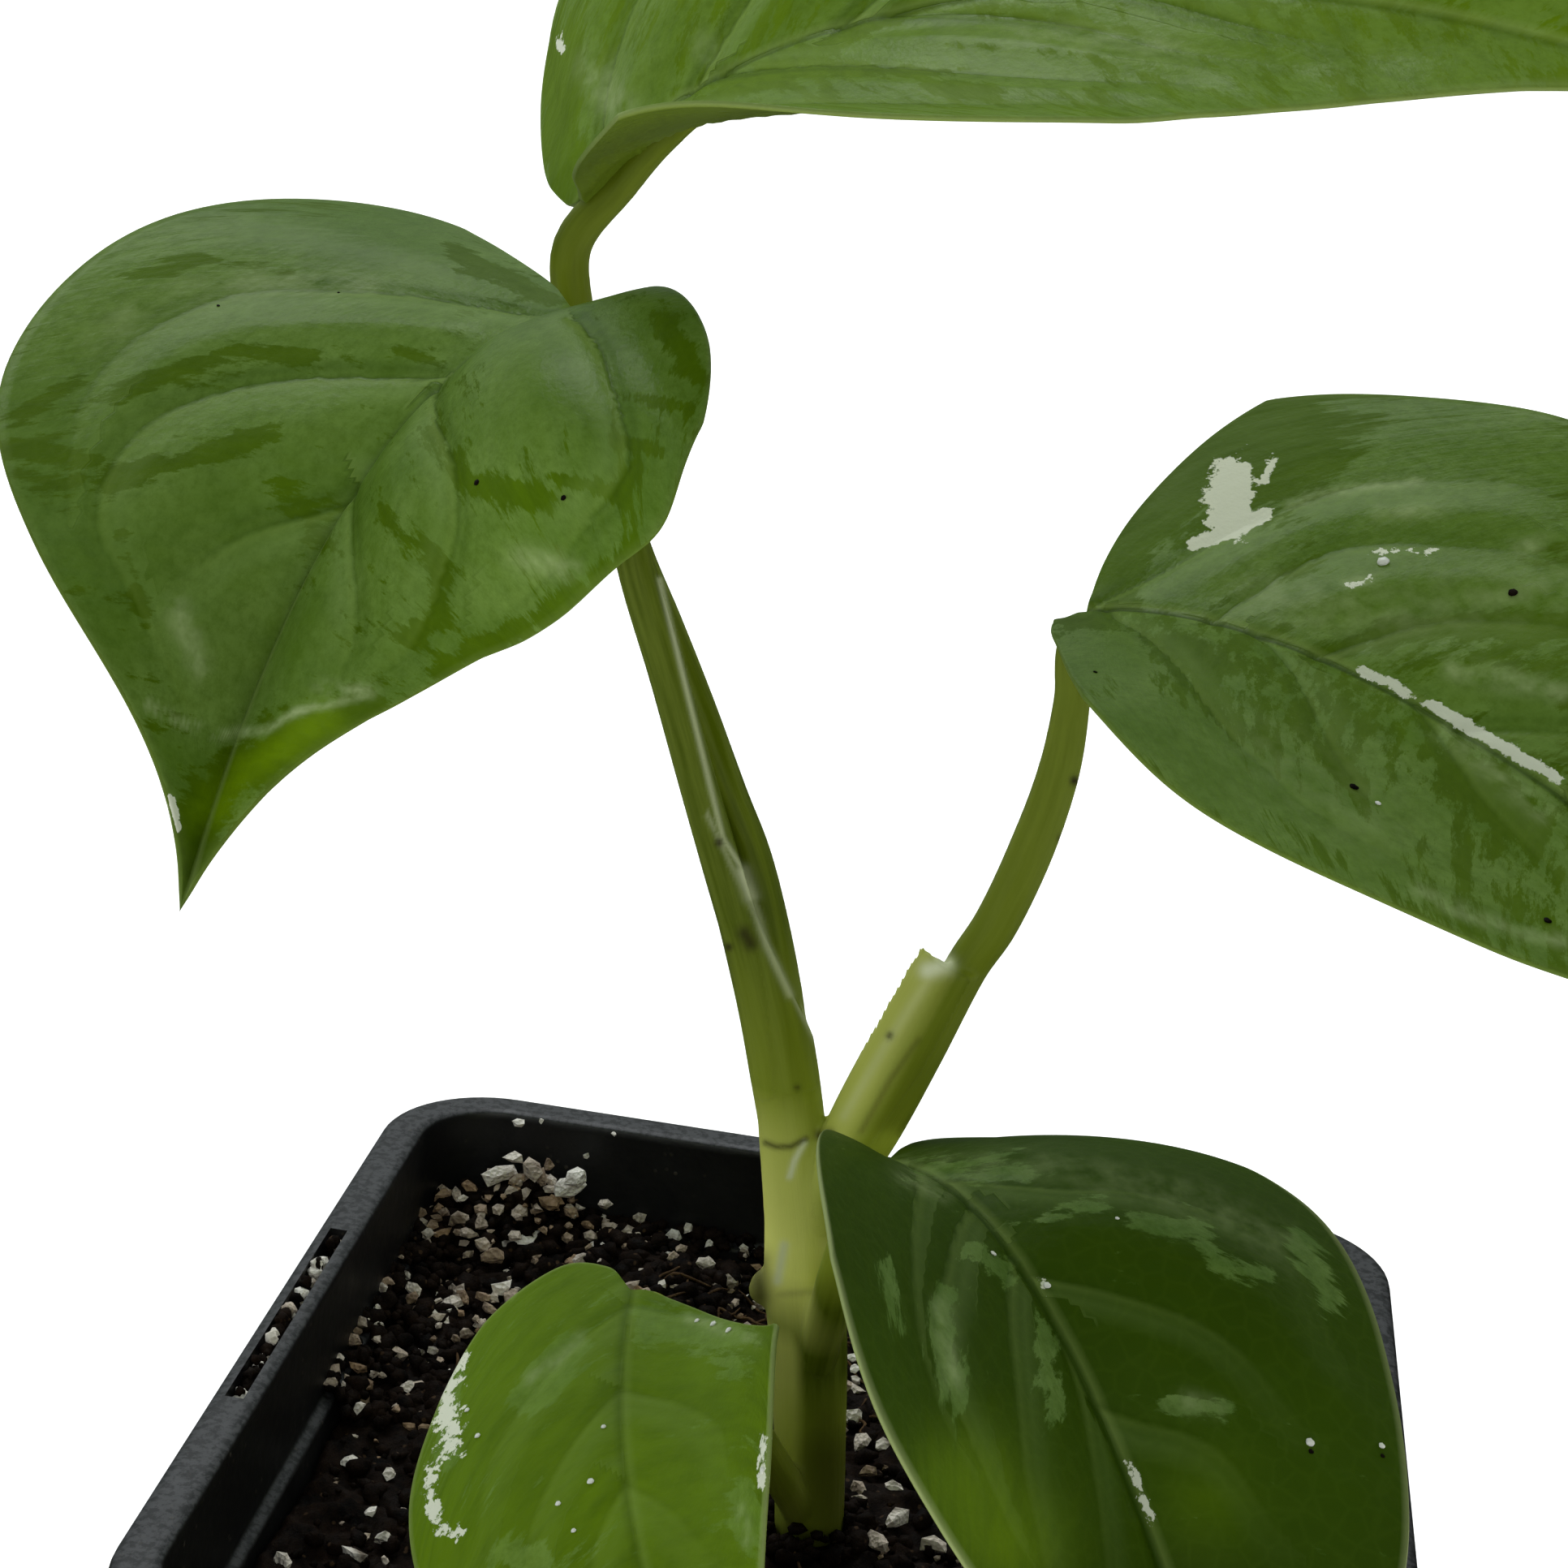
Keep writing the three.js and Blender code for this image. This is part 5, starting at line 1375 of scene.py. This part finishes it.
# What the photograph shows on the blades, as brush strokes over it. A stroke is its strength, half width and
# line, in pixels of the photograph. Wet and dry move the edge of the films of water and of their painted sky
# reflection, glint is white painted glare, sheen a pale painted sheen, gleam white painted glare along the
# midrib, and limy a yellower green. Wetness, lime and deep are for the whole blade, crease is for the
# painted shade in the midrib's crease at its base and tip, and ridge for its pale side, partly painted
# highlight.
STROKE_KINDS = ("wet", "dry", "glint", "sheen", "gleam", "limy")
MARKS = {
    "a": dict(
        wetness=0.64, lime=0.3, deep=0.3, veins=0.9, crease=(0.7, 0), ridge=0.5,
        wet=[
            (1, 40, [(150, 420), (300, 370), (500, 365)]), (1, 50, [(240, 700), (300, 800)]),
            (1, 50, [(680, 460)]),
        ],
        dry=[
            (1, 11, [(160, 342), (255, 318)]), (1, 9, [(275, 328), (365, 335)]),
            (1.1, 14, [(560, 312), (675, 368)]),
            (1.1, 13, [(140, 490), (225, 452), (300, 428), (380, 438)]), (1, 9, [(490, 432), (545, 448)]),
            (1.1, 11, [(12, 548), (115, 568)]), (1.1, 9, [(18, 588), (92, 590)]),
            (0.9, 10, [(30, 508), (100, 462)]),
            (1.1, 13, [(135, 590), (250, 560), (335, 530)]), (0.8, 24, [(350, 600), (390, 660)]),
            (1.1, 18, [(535, 540), (572, 598), (672, 613)]), (1, 9, [(682, 590), (762, 606)]),
            (1, 10, [(775, 488), (845, 502)]), (1.1, 17, [(822, 400), (862, 465)]),
            (1, 9, [(757, 542), (812, 556)]),
            (1.1, 11, [(785, 575), (765, 615)]),
            (0.9, 16, [(480, 640), (545, 700), (540, 765), (505, 785)]),
            (0.9, 12, [(150, 660), (182, 775)]), (1.1, 16, [(545, 825), (690, 750), (780, 680)]),
            (1.3, 34, [(225, 1090), (262, 975), (370, 912), (450, 876)]),
        ],
        sheen=[
            (0.55, 15, [(218, 750), (246, 822)]), (0.7, 9, [(395, 848), (458, 852)]),
            (0.5, 16, [(640, 690), (700, 700)]),
            (0.9, 5, [(182, 868), (225, 892), (273, 906), (330, 898), (364, 877), (446, 858)]),
            (0.35, 16, [(120, 420), (200, 365), (330, 345), (450, 352)]),
        ],
        glint=[(1, 8, [(210, 985), (216, 1020)])],
        limy=[(1.4, 26, [(262, 1000), (310, 945), (400, 885)])],
    ),
    "b": dict(
        wetness=0.54, lime=0.75, deep=0.1, veins=0.9, crease=(0.6, 0.3), ridge=0.4,
        wet=[(1, 30, [(1100, 60), (1500, 60)]), (1, 26, [(800, 100)])],
        dry=[
            (1.2, 9, [(800, 170), (900, 112), (1010, 60), (1142, 0)]),
            (1.1, 7, [(860, 127), (997, 84), (1180, 88)]),
            (1.1, 12, [(1142, 108), (1224, 115)]), (1.2, 20, [(692, 60), (690, 160), (702, 240)]),
            (1, 8, [(1170, 55), (1330, 66), (1420, 96)]), (1, 7, [(1250, 20), (1400, 40), (1500, 80)]),
        ],
        sheen=[
            (0.5, 24, [(735, 85), (765, 140)]), (0.35, 16, [(1250, 45), (1450, 55)]),
            (0.3, 20, [(870, 60)]),
        ],
        glint=[(0.8, 6, [(688, 44), (692, 62)])],
    ),
    "c": dict(
        wetness=0.5, lime=0.3, deep=0.25, veins=0.6, crease=(0.7, 0.8), ridge=0.4,
        wet=[
            (1, 34, [(1440, 715), (1560, 680)]), (1, 60, [(1700, 650), (1860, 640)]),
            (1, 34, [(1330, 795), (1390, 815)]),
            (1, 36, [(1400, 880), (1530, 975), (1680, 1050)]), (1, 34, [(1700, 985), (1740, 1010)]),
            (0.8, 40, [(1740, 545), (1900, 560)]), (0.8, 30, [(1800, 850), (1900, 880)]),
            (1, 26, [(1540, 740), (1680, 742), (1780, 722), (1920, 720)]),
        ],
        dry=[
            (1.5, 42, [(1335, 745), (1390, 655), (1470, 570), (1580, 515)]),
            (1.3, 32, [(1520, 600), (1620, 560)]),
            (1.2, 13, [(1706, 778), (1800, 770), (1925, 775)]), (0.8, 26, [(1430, 800), (1490, 830)]),
            (0.7, 18, [(1600, 880)]),
            (1, 16, [(1640, 930), (1690, 1000)]), (1, 26, [(1800, 960), (1880, 1010)]),
            (1, 14, [(1560, 1000), (1650, 1060)]),
        ],
        glint=[
            (1.05, 30, [(1518, 590), (1512, 640)]), (0.9, 10, [(1470, 672), (1520, 655), (1560, 632)]),
            (0.8, 7, [(1558, 592), (1568, 566)]), (0.6, 6, [(1655, 722), (1692, 714)]),
            (0.5, 7, [(1690, 680), (1770, 678)]),
        ],
        sheen=[
            (0.5, 9, [(1700, 632), (1780, 628)]), (0.6, 6, [(1590, 622), (1650, 604), (1760, 592)]),
            (0.6, 14, [(1790, 826), (1920, 850)]), (0.5, 10, [(1750, 1100), (1830, 1135), (1925, 1160)]),
            (0.3, 34, [(1540, 735), (1700, 755), (1920, 725)]), (0.15, 50, [(1560, 930), (1700, 1020)]),
            (0.5, 9, [(1650, 722), (1700, 712)]), (0.5, 10, [(1870, 676), (1905, 668)]),
            (0.35, 16, [(1780, 900), (1900, 1000)]),
        ],
        gleam=[(1.1, 18, [(1682, 836), (1730, 858)]), (1.1, 22, [(1765, 876), (1830, 908), (1915, 948)])],
    ),
    "d": dict(
        wetness=0.27, lime=0.05, deep=0.75, veins=0.5, crease=(0.9, 0.95), ridge=0.3,
        wet=[
            (1.3, 24, [(1165, 1600), (1162, 1660), (1180, 1720)]), (1.2, 16, [(1200, 1540), (1240, 1570)]),
            (1.2, 16, [(1285, 1640), (1300, 1740)]), (1.3, 17, [(1445, 1730), (1510, 1740)]),
            (1.2, 17, [(1400, 1505), (1480, 1520), (1500, 1560), (1560, 1570)]),
            (1.3, 22, [(1600, 1530), (1640, 1600)]),
            (1.1, 20, [(1140, 1440), (1260, 1440)]), (1, 15, [(1090, 1560), (1110, 1640)]),
            (1, 15, [(1290, 1500), (1360, 1480)]),
        ],
        dry=[(0.6, 60, [(1500, 1650)]), (0.6, 60, [(1290, 1860)])],
        sheen=[
            (0.4, 12, [(1160, 1610), (1175, 1700)]), (0.3, 12, [(1460, 1725), (1500, 1735)]),
            (0.2, 22, [(1120, 1442), (1300, 1436), (1480, 1478), (1590, 1540)]),
            (0.3, 9, [(1110, 1450), (1165, 1475)]),
        ],
        gleam=[(0.85, 16, [(1390, 1812), (1412, 1868)]), (0.7, 10, [(1284, 1578), (1288, 1588)])],
        limy=[(1.3, 70, [(1190, 1830), (1240, 1900)]), (0.5, 60, [(1480, 1850)])],
    ),
    "e": dict(
        wetness=0.32, lime=0.65, deep=0.1, veins=0.4, crease=(0.4, 0.3), ridge=0.15,
        wet=[
            (1.3, 28, [(700, 1665), (655, 1720)]), (1.3, 26, [(800, 1625), (900, 1650)]),
            (1.2, 20, [(915, 1840), (925, 1900)]),
            (1.2, 22, [(630, 1915), (665, 1925)]), (1, 14, [(560, 1700), (550, 1800)]),
            (0.8, 30, [(900, 1680)]),
        ],
        dry=[(0.6, 60, [(760, 1800)])],
        sheen=[
            (0.35, 10, [(655, 1700), (715, 1650)]), (0.4, 8, [(912, 1860), (922, 1900)]),
            (0.4, 8, [(850, 1625), (930, 1650)]),
        ],
        glint=[
            (0.62, 24, [(560, 1665), (550, 1720), (556, 1780)]), (0.6, 14, [(530, 1810), (534, 1870)]),
            (0.6, 13, [(545, 1885), (570, 1890)]), (0.6, 8, [(940, 1770), (938, 1830)]),
        ],
        limy=[(0.5, 60, [(760, 1850)])],
    ),
}
MARGIN_PALENESS = {"a": 0.1, "b": 0.3, "c": 0.12, "d": 0.6, "e": 0.4}

# Beads of water on the blades, and crumbs of peat, as pixels of the photograph and a radius in millimetres
BEADS = {
    "c": [(1705, 695, 0.42), (1700, 990, 0.2)],
    "d": [(1222, 1545, 0.22), (1288, 1586, 0.25), (1612, 1782, 0.3), (1700, 1786, 0.22), (1380, 1500, 0.15)],
    "e": [(727, 1828, 0.25), (690, 1853, 0.2), (706, 1885, 0.18), (745, 1757, 0.18), (898, 1640, 0.25),
          (860, 1628, 0.2), (880, 1632, 0.25), (940, 1815, 0.25), (590, 1770, 0.22), (575, 1740, 0.2)],
}
SPECKS = {
    "a": [(588, 598, 0.2), (694, 612, 0.18), (267, 376, 0.12), (420, 362, 0.1)],
    "c": [(1860, 735, 0.32), (1664, 973, 0.3), (1908, 1130, 0.25), (1350, 828, 0.15)],
    "d": [(1616, 1786, 0.18), (1702, 1790, 0.16)],
}


def make_beads(blades, places, name, material, height):
    """Small drops or crumbs that lie on the blades."""
    points, faces = rock_points(3, 2, 0.05)
    lumps = []
    for blade_name, spots in places.items():
        blade = blades[blade_name]
        seen = photo_pixels(blade.top)
        for px, py, size in spots:
            k = np.linalg.norm(seen - [px, py], axis=1).argmin()
            normal = blade.top_normals[k]
            squashed = points - (points @ normal)[:, None] * normal * (1 - height)
            lumps.append((blade.top[k] + squashed * size + normal * size * 0.3, faces))
    points, faces = gather(lumps)
    add_piece(name, make_mesh(name, points, faces), material, "plant")


def petiole_line(name, blade):
    """A petiole's line and radii, with the points where it runs out in its blade's keel."""
    line, radii = PETIOLES[name]
    along = np.array([0.05, 0.14, 0.26] if name == "b" else [0.03, 0.1])
    ends = [1.25, 1.05, 0.5] if name == "b" else [0.95, 0.5]
    still = np.zeros(len(along))
    keel = blade.middle(along, still) - (np.array(ends) + 0.1)[:, None] * blade.normals(along, still)
    return line + [tuple(p) for p in keel], radii + ends


# Pale marks on the stalks, as brush strokes over the photograph: the seam between the two tall petioles, the
# free tip and edge of their sheath, the torn end of the other sheath, and painted glints where the wet stem
# shines
PALE_STROKES = [
    (0.45, 3.4, [(813, 714), (842, 834), (870, 948), (891, 1033), (913, 1068)]),
    (0.6, 8, [(915, 1074), (926, 1105)]),
    (0.4, 5, [(928, 1112), (945, 1165), (973, 1225)]), (1, 11, [(1143, 1196), (1166, 1188)]),
    (0.2, 7, [(1142, 1210), (1090, 1290), (1040, 1375)]), (0.9, 4, [(991, 1408), (979, 1430), (973, 1450)]),
    (0.7, 6, [(966, 1535), (958, 1578)]),
]
# Brown marks on them: the line round the node, a bruise, specks, the darkened foot, and painted shade low
# on the stem's right
BROWN_STROKES = [
    (0.75, 4, [(943, 1408), (956, 1413), (974, 1413), (993, 1403)]), (0.8, 9, [(917, 1150), (925, 1163)]),
    (1, 5, [(886, 1038)]), (0.9, 5, [(898, 1167)]), (0.8, 4, [(982, 1340)]), (0.8, 5, [(1096, 1276)]),
    (1, 6, [(1324, 962)]), (0.6, 5, [(1306, 1033)]), (0.8, 7, [(1010, 1399), (1022, 1397)]),
    (0.35, 4, [(1132, 1281), (1097, 1330), (1061, 1394)]), (0.8, 16, [(932, 1556), (936, 1596)]),
    (0.25, 5, [(926, 1602), (960, 1595), (1000, 1592)]),
    (0.75, 24, [(935, 1900), (1055, 1896)]), (0.6, 55, [(1022, 1800), (1040, 1880)]),
]


def grown_together(shapes):
    """Several objects as one mesh that is remeshed and relaxed, so that they flow into each other."""
    joined = bmesh.new()
    for part in shapes:
        joined.from_mesh(part.data)
        bpy.data.objects.remove(part)
    mesh = bpy.data.meshes.new("stalks")
    joined.to_mesh(mesh)
    joined.free()
    whole = bpy.data.objects.new("stalks", mesh)
    bpy.context.scene.collection.objects.link(whole)
    remesh = whole.modifiers.new("grow_together", "REMESH")
    remesh.mode = "VOXEL"
    remesh.voxel_size = VOXEL * MM
    remesh.use_smooth_shade = True
    relax = whole.modifiers.new("relax", "SMOOTH")
    relax.factor = 0.5
    relax.iterations = 4
    mesh = bpy.data.meshes.new_from_object(whole.evaluated_get(bpy.context.evaluated_depsgraph_get()))
    bpy.data.objects.remove(whole)
    return mesh


def stalk_shapes(lines):
    """The stalks and the bud, the sheath that is cut to its slanting margin, and the open channel."""
    body = bmesh.new()
    for name in ("stem", "a", "b", "c", "d", "e"):
        add_stalk(body, *lines[name])
    bud = bmesh.ops.create_icosphere(body, subdivisions=3, radius=1)["verts"]
    for p in bud:
        swell = 1.25 - 0.25 * p.co.z
        p.co = [p.co[k] * BUD["size"][k] * (swell if k < 2 else 1) + BUD["middle"][k] for k in range(3)]
    sheath = bmesh.new()
    add_stalk(sheath, *SHEATH_A, sides=40)
    cut = bmesh.ops.bisect_plane(
        sheath, geom=sheath.verts[:] + sheath.edges[:] + sheath.faces[:], plane_co=MARGIN_POINT,
        plane_no=MARGIN_SLOPE, clear_outer=True,
    )
    bmesh.ops.holes_fill(sheath, edges=[e for e in cut["geom_cut"] if isinstance(e, bmesh.types.BMEdge)])
    channel = bmesh.new()
    add_stalk(channel, *CHANNEL_C, sides=32)
    open_sheath = bmesh.new()
    add_stalk(open_sheath, *SHEATH_C, sides=40)
    stalks = object_from(body, "stalks")
    first = object_from(sheath, "sheath_a")
    second = object_from(open_sheath, "sheath_c")
    apply_boolean(second, object_from(channel, "channel"), "DIFFERENCE")
    return stalks, first, second


def fade(values, start, end):
    """0 at the start and 1 at the end, and straight between them."""
    return np.clip((values - start) / (end - start), 0, 1)


def mesh_vectors(mesh, name):
    """One vector for each point of a mesh, such as its place or its normal."""
    values = np.zeros(len(mesh.vertices) * 3)
    mesh.vertices.foreach_get(name, values)
    return values.reshape(-1, 3)


def nearest_stalk(points, lines, right):
    """For each point, its place in the grain of the stalk that it lies on, and how pale and light it is. The
    grain runs along the stalk and is shortened so that fibres come out long, and a step sets each stalk's
    grain apart. The sheaths count as a little further off, so that the stalks inside them show."""
    step, shortened, sheath_further = 20, 0.06, 0.35
    rows = np.arange(len(points))
    best = np.full(len(points), 1e9)
    grain = np.zeros((len(points), 3))
    pale = np.zeros(len(points))

    # All are lighter above the node ring, and the third petiole and its sheath a little more
    light = (1 - fade(points[:, 2], 103, 127)) * fade(points[:, 2], 99, 103)
    for order, (name, (line, radii)) in enumerate(lines.items()):
        centre, u, w, size = stalk_path(line, radii, steps=160)
        lengths = np.concatenate([[0], np.cumsum(np.linalg.norm(np.diff(centre, axis=0), axis=1))])
        off = points[:, None, :] - centre
        far = np.linalg.norm(off, axis=2)
        k = far.argmin(1)
        gap = np.abs(far[rows, k] - size[k]) + (sheath_further if name.startswith("sheath") else 0)
        here = gap < best
        best = np.minimum(best, gap)
        away = off[rows, k]
        x, y = (away * u[k]).sum(1), (away * w[k]).sum(1)
        grain[here] = np.stack([x + step * order, y, lengths[k] * shortened], 1)[here]
        sideways = (away @ right) / size[k]
        pale[here] = 0.4 * np.clip(0.2 - 1.6 * sideways[here], 0, 1) if name == "sheath_c" else 0
        light[here] += {"c": 0.12, "sheath_c": 0.2}.get(name, 0)
    return grain, pale, light


def distance_to(points, line, radii):
    """Signed distance in millimetres from a stalk's skin, below 0 inside."""
    centre, _, _, size = stalk_path(line, radii, steps=120)
    far = np.linalg.norm(points[:, None, :] - centre, axis=2)
    k = far.argmin(1)
    return far[np.arange(len(points)), k] - size[k]


def make_stalks(blades, material):
    """Stem, petioles, sheaths and bud grown together. Each point then learns which stalk it lies on, and
    how pale, light or brown it is there."""
    lines = {"stem": (STEM_LINE + [(-5.7, -0.3, 112.5)], STEM_RADII + [2.4])}
    lines.update({"sheath_a": SHEATH_A, "sheath_c": SHEATH_C})
    for name, blade in blades.items():
        lines[name] = petiole_line(name, blade)
    mesh = grown_together(stalk_shapes(lines))
    points = mesh_vectors(mesh, "co") / MM
    height = points[:, 2]
    right = camera_axes()[0]
    grain, pale, light = nearest_stalk(points, lines, right)

    # The stem is palest from its bud up past its node ring, and is painted darker down to its foot, first
    # on the right, as painted shade
    centre, _, _, size = stalk_path(*lines["stem"], steps=160)
    k = np.linalg.norm(points[:, None, :] - centre, axis=2).argmin(1)
    off = points - centre[k]
    sideways = off @ right / size[k]
    on_stem = 1 - fade(np.linalg.norm(off, axis=1) / size[k], 1.2, 1.9)
    between = fade(height, 94, 100) * (1 - fade(height, 102, 114))
    left_band = (1 - fade(sideways, -0.4, -0.1)) * (1 - fade(height, 94, 98))
    stem_pale = np.maximum(
        between * np.clip(1 - 0.7 * sideways, 0, 1), 0.5 * left_band * np.clip((height - 77) / 14, 0.2, 1))
    # The petioles are a little lighter from 158 mm up, and the stalks below 88 to 92 mm get painted light
    # where the leaves' shadow falls on them
    light += 0.2 * fade(height, 158, 164) + 0.9 * (1 - fade(height, 88, 92))

    # The margin of the first sheath, and the marks that the photograph shows, among them white painted
    # glints and painted shade low on the stem
    off_plane = np.abs((points - np.array(MARGIN_POINT)) @ unit(np.array(MARGIN_SLOPE)))
    near_sheath = (np.abs(distance_to(points, *SHEATH_A)) < 0.5) & (height > 111)
    margin = np.where(near_sheath, np.exp(-(off_plane / 0.2) ** 2), 0) * 0.25
    facing = (mesh_vectors(mesh, "normal") * (np.array(EYE) - points)).sum(1) > 0
    seen = photo_pixels(points)
    values = {
        "brown": facing * stroked(seen, BROWN_STROKES),
        "light": light,
        "grain": grain,
        "pale": np.maximum(pale, on_stem * stem_pale),
        "margin": np.maximum(margin, facing * stroked(seen, PALE_STROKES)),
        "shade": 0.1 * on_stem * (1 - left_band) * (1 - fade(height, 82, 94)),
    }
    for name, value in values.items():
        add_values(mesh, name, value)
    add_piece("stem_and_petioles", mesh, material, "plant")


add_camera()
add_floor()
add_sky()
add_lights()
pot_finish = moulded_polypropylene()
peat_finish = damp_peat("damp_peat", "#040201", "#22160e")
fibre_finish = damp_peat("peat_fibre", "#3a2a1c", "#6b5238")
perlite_finish = expanded_perlite()
leaf_finish = wet_leaf_cuticle()
stalk_finish = petiole_tissue()
make_pot(pot_finish)
make_soil_bed(peat_finish)
make_crumbs(peat_finish)
make_fibres(fibre_finish)
make_perlite(perlite_finish)
make_slot_crumbs(peat_finish, "slot_crumbs", 190, 31, 0.65)
make_slot_crumbs(perlite_finish, "slot_perlite", 110, 33, 0.7)
blades = {name: Blade(name) for name in LEAVES}
for blade in blades.values():
    make_blade(blade, leaf_finish)
make_stalks(blades, stalk_finish)
make_beads(blades, BEADS, "water_beads", clear_water(), 0.45)
make_beads(blades, SPECKS, "leaf_specks", peat_finish, 0.3)
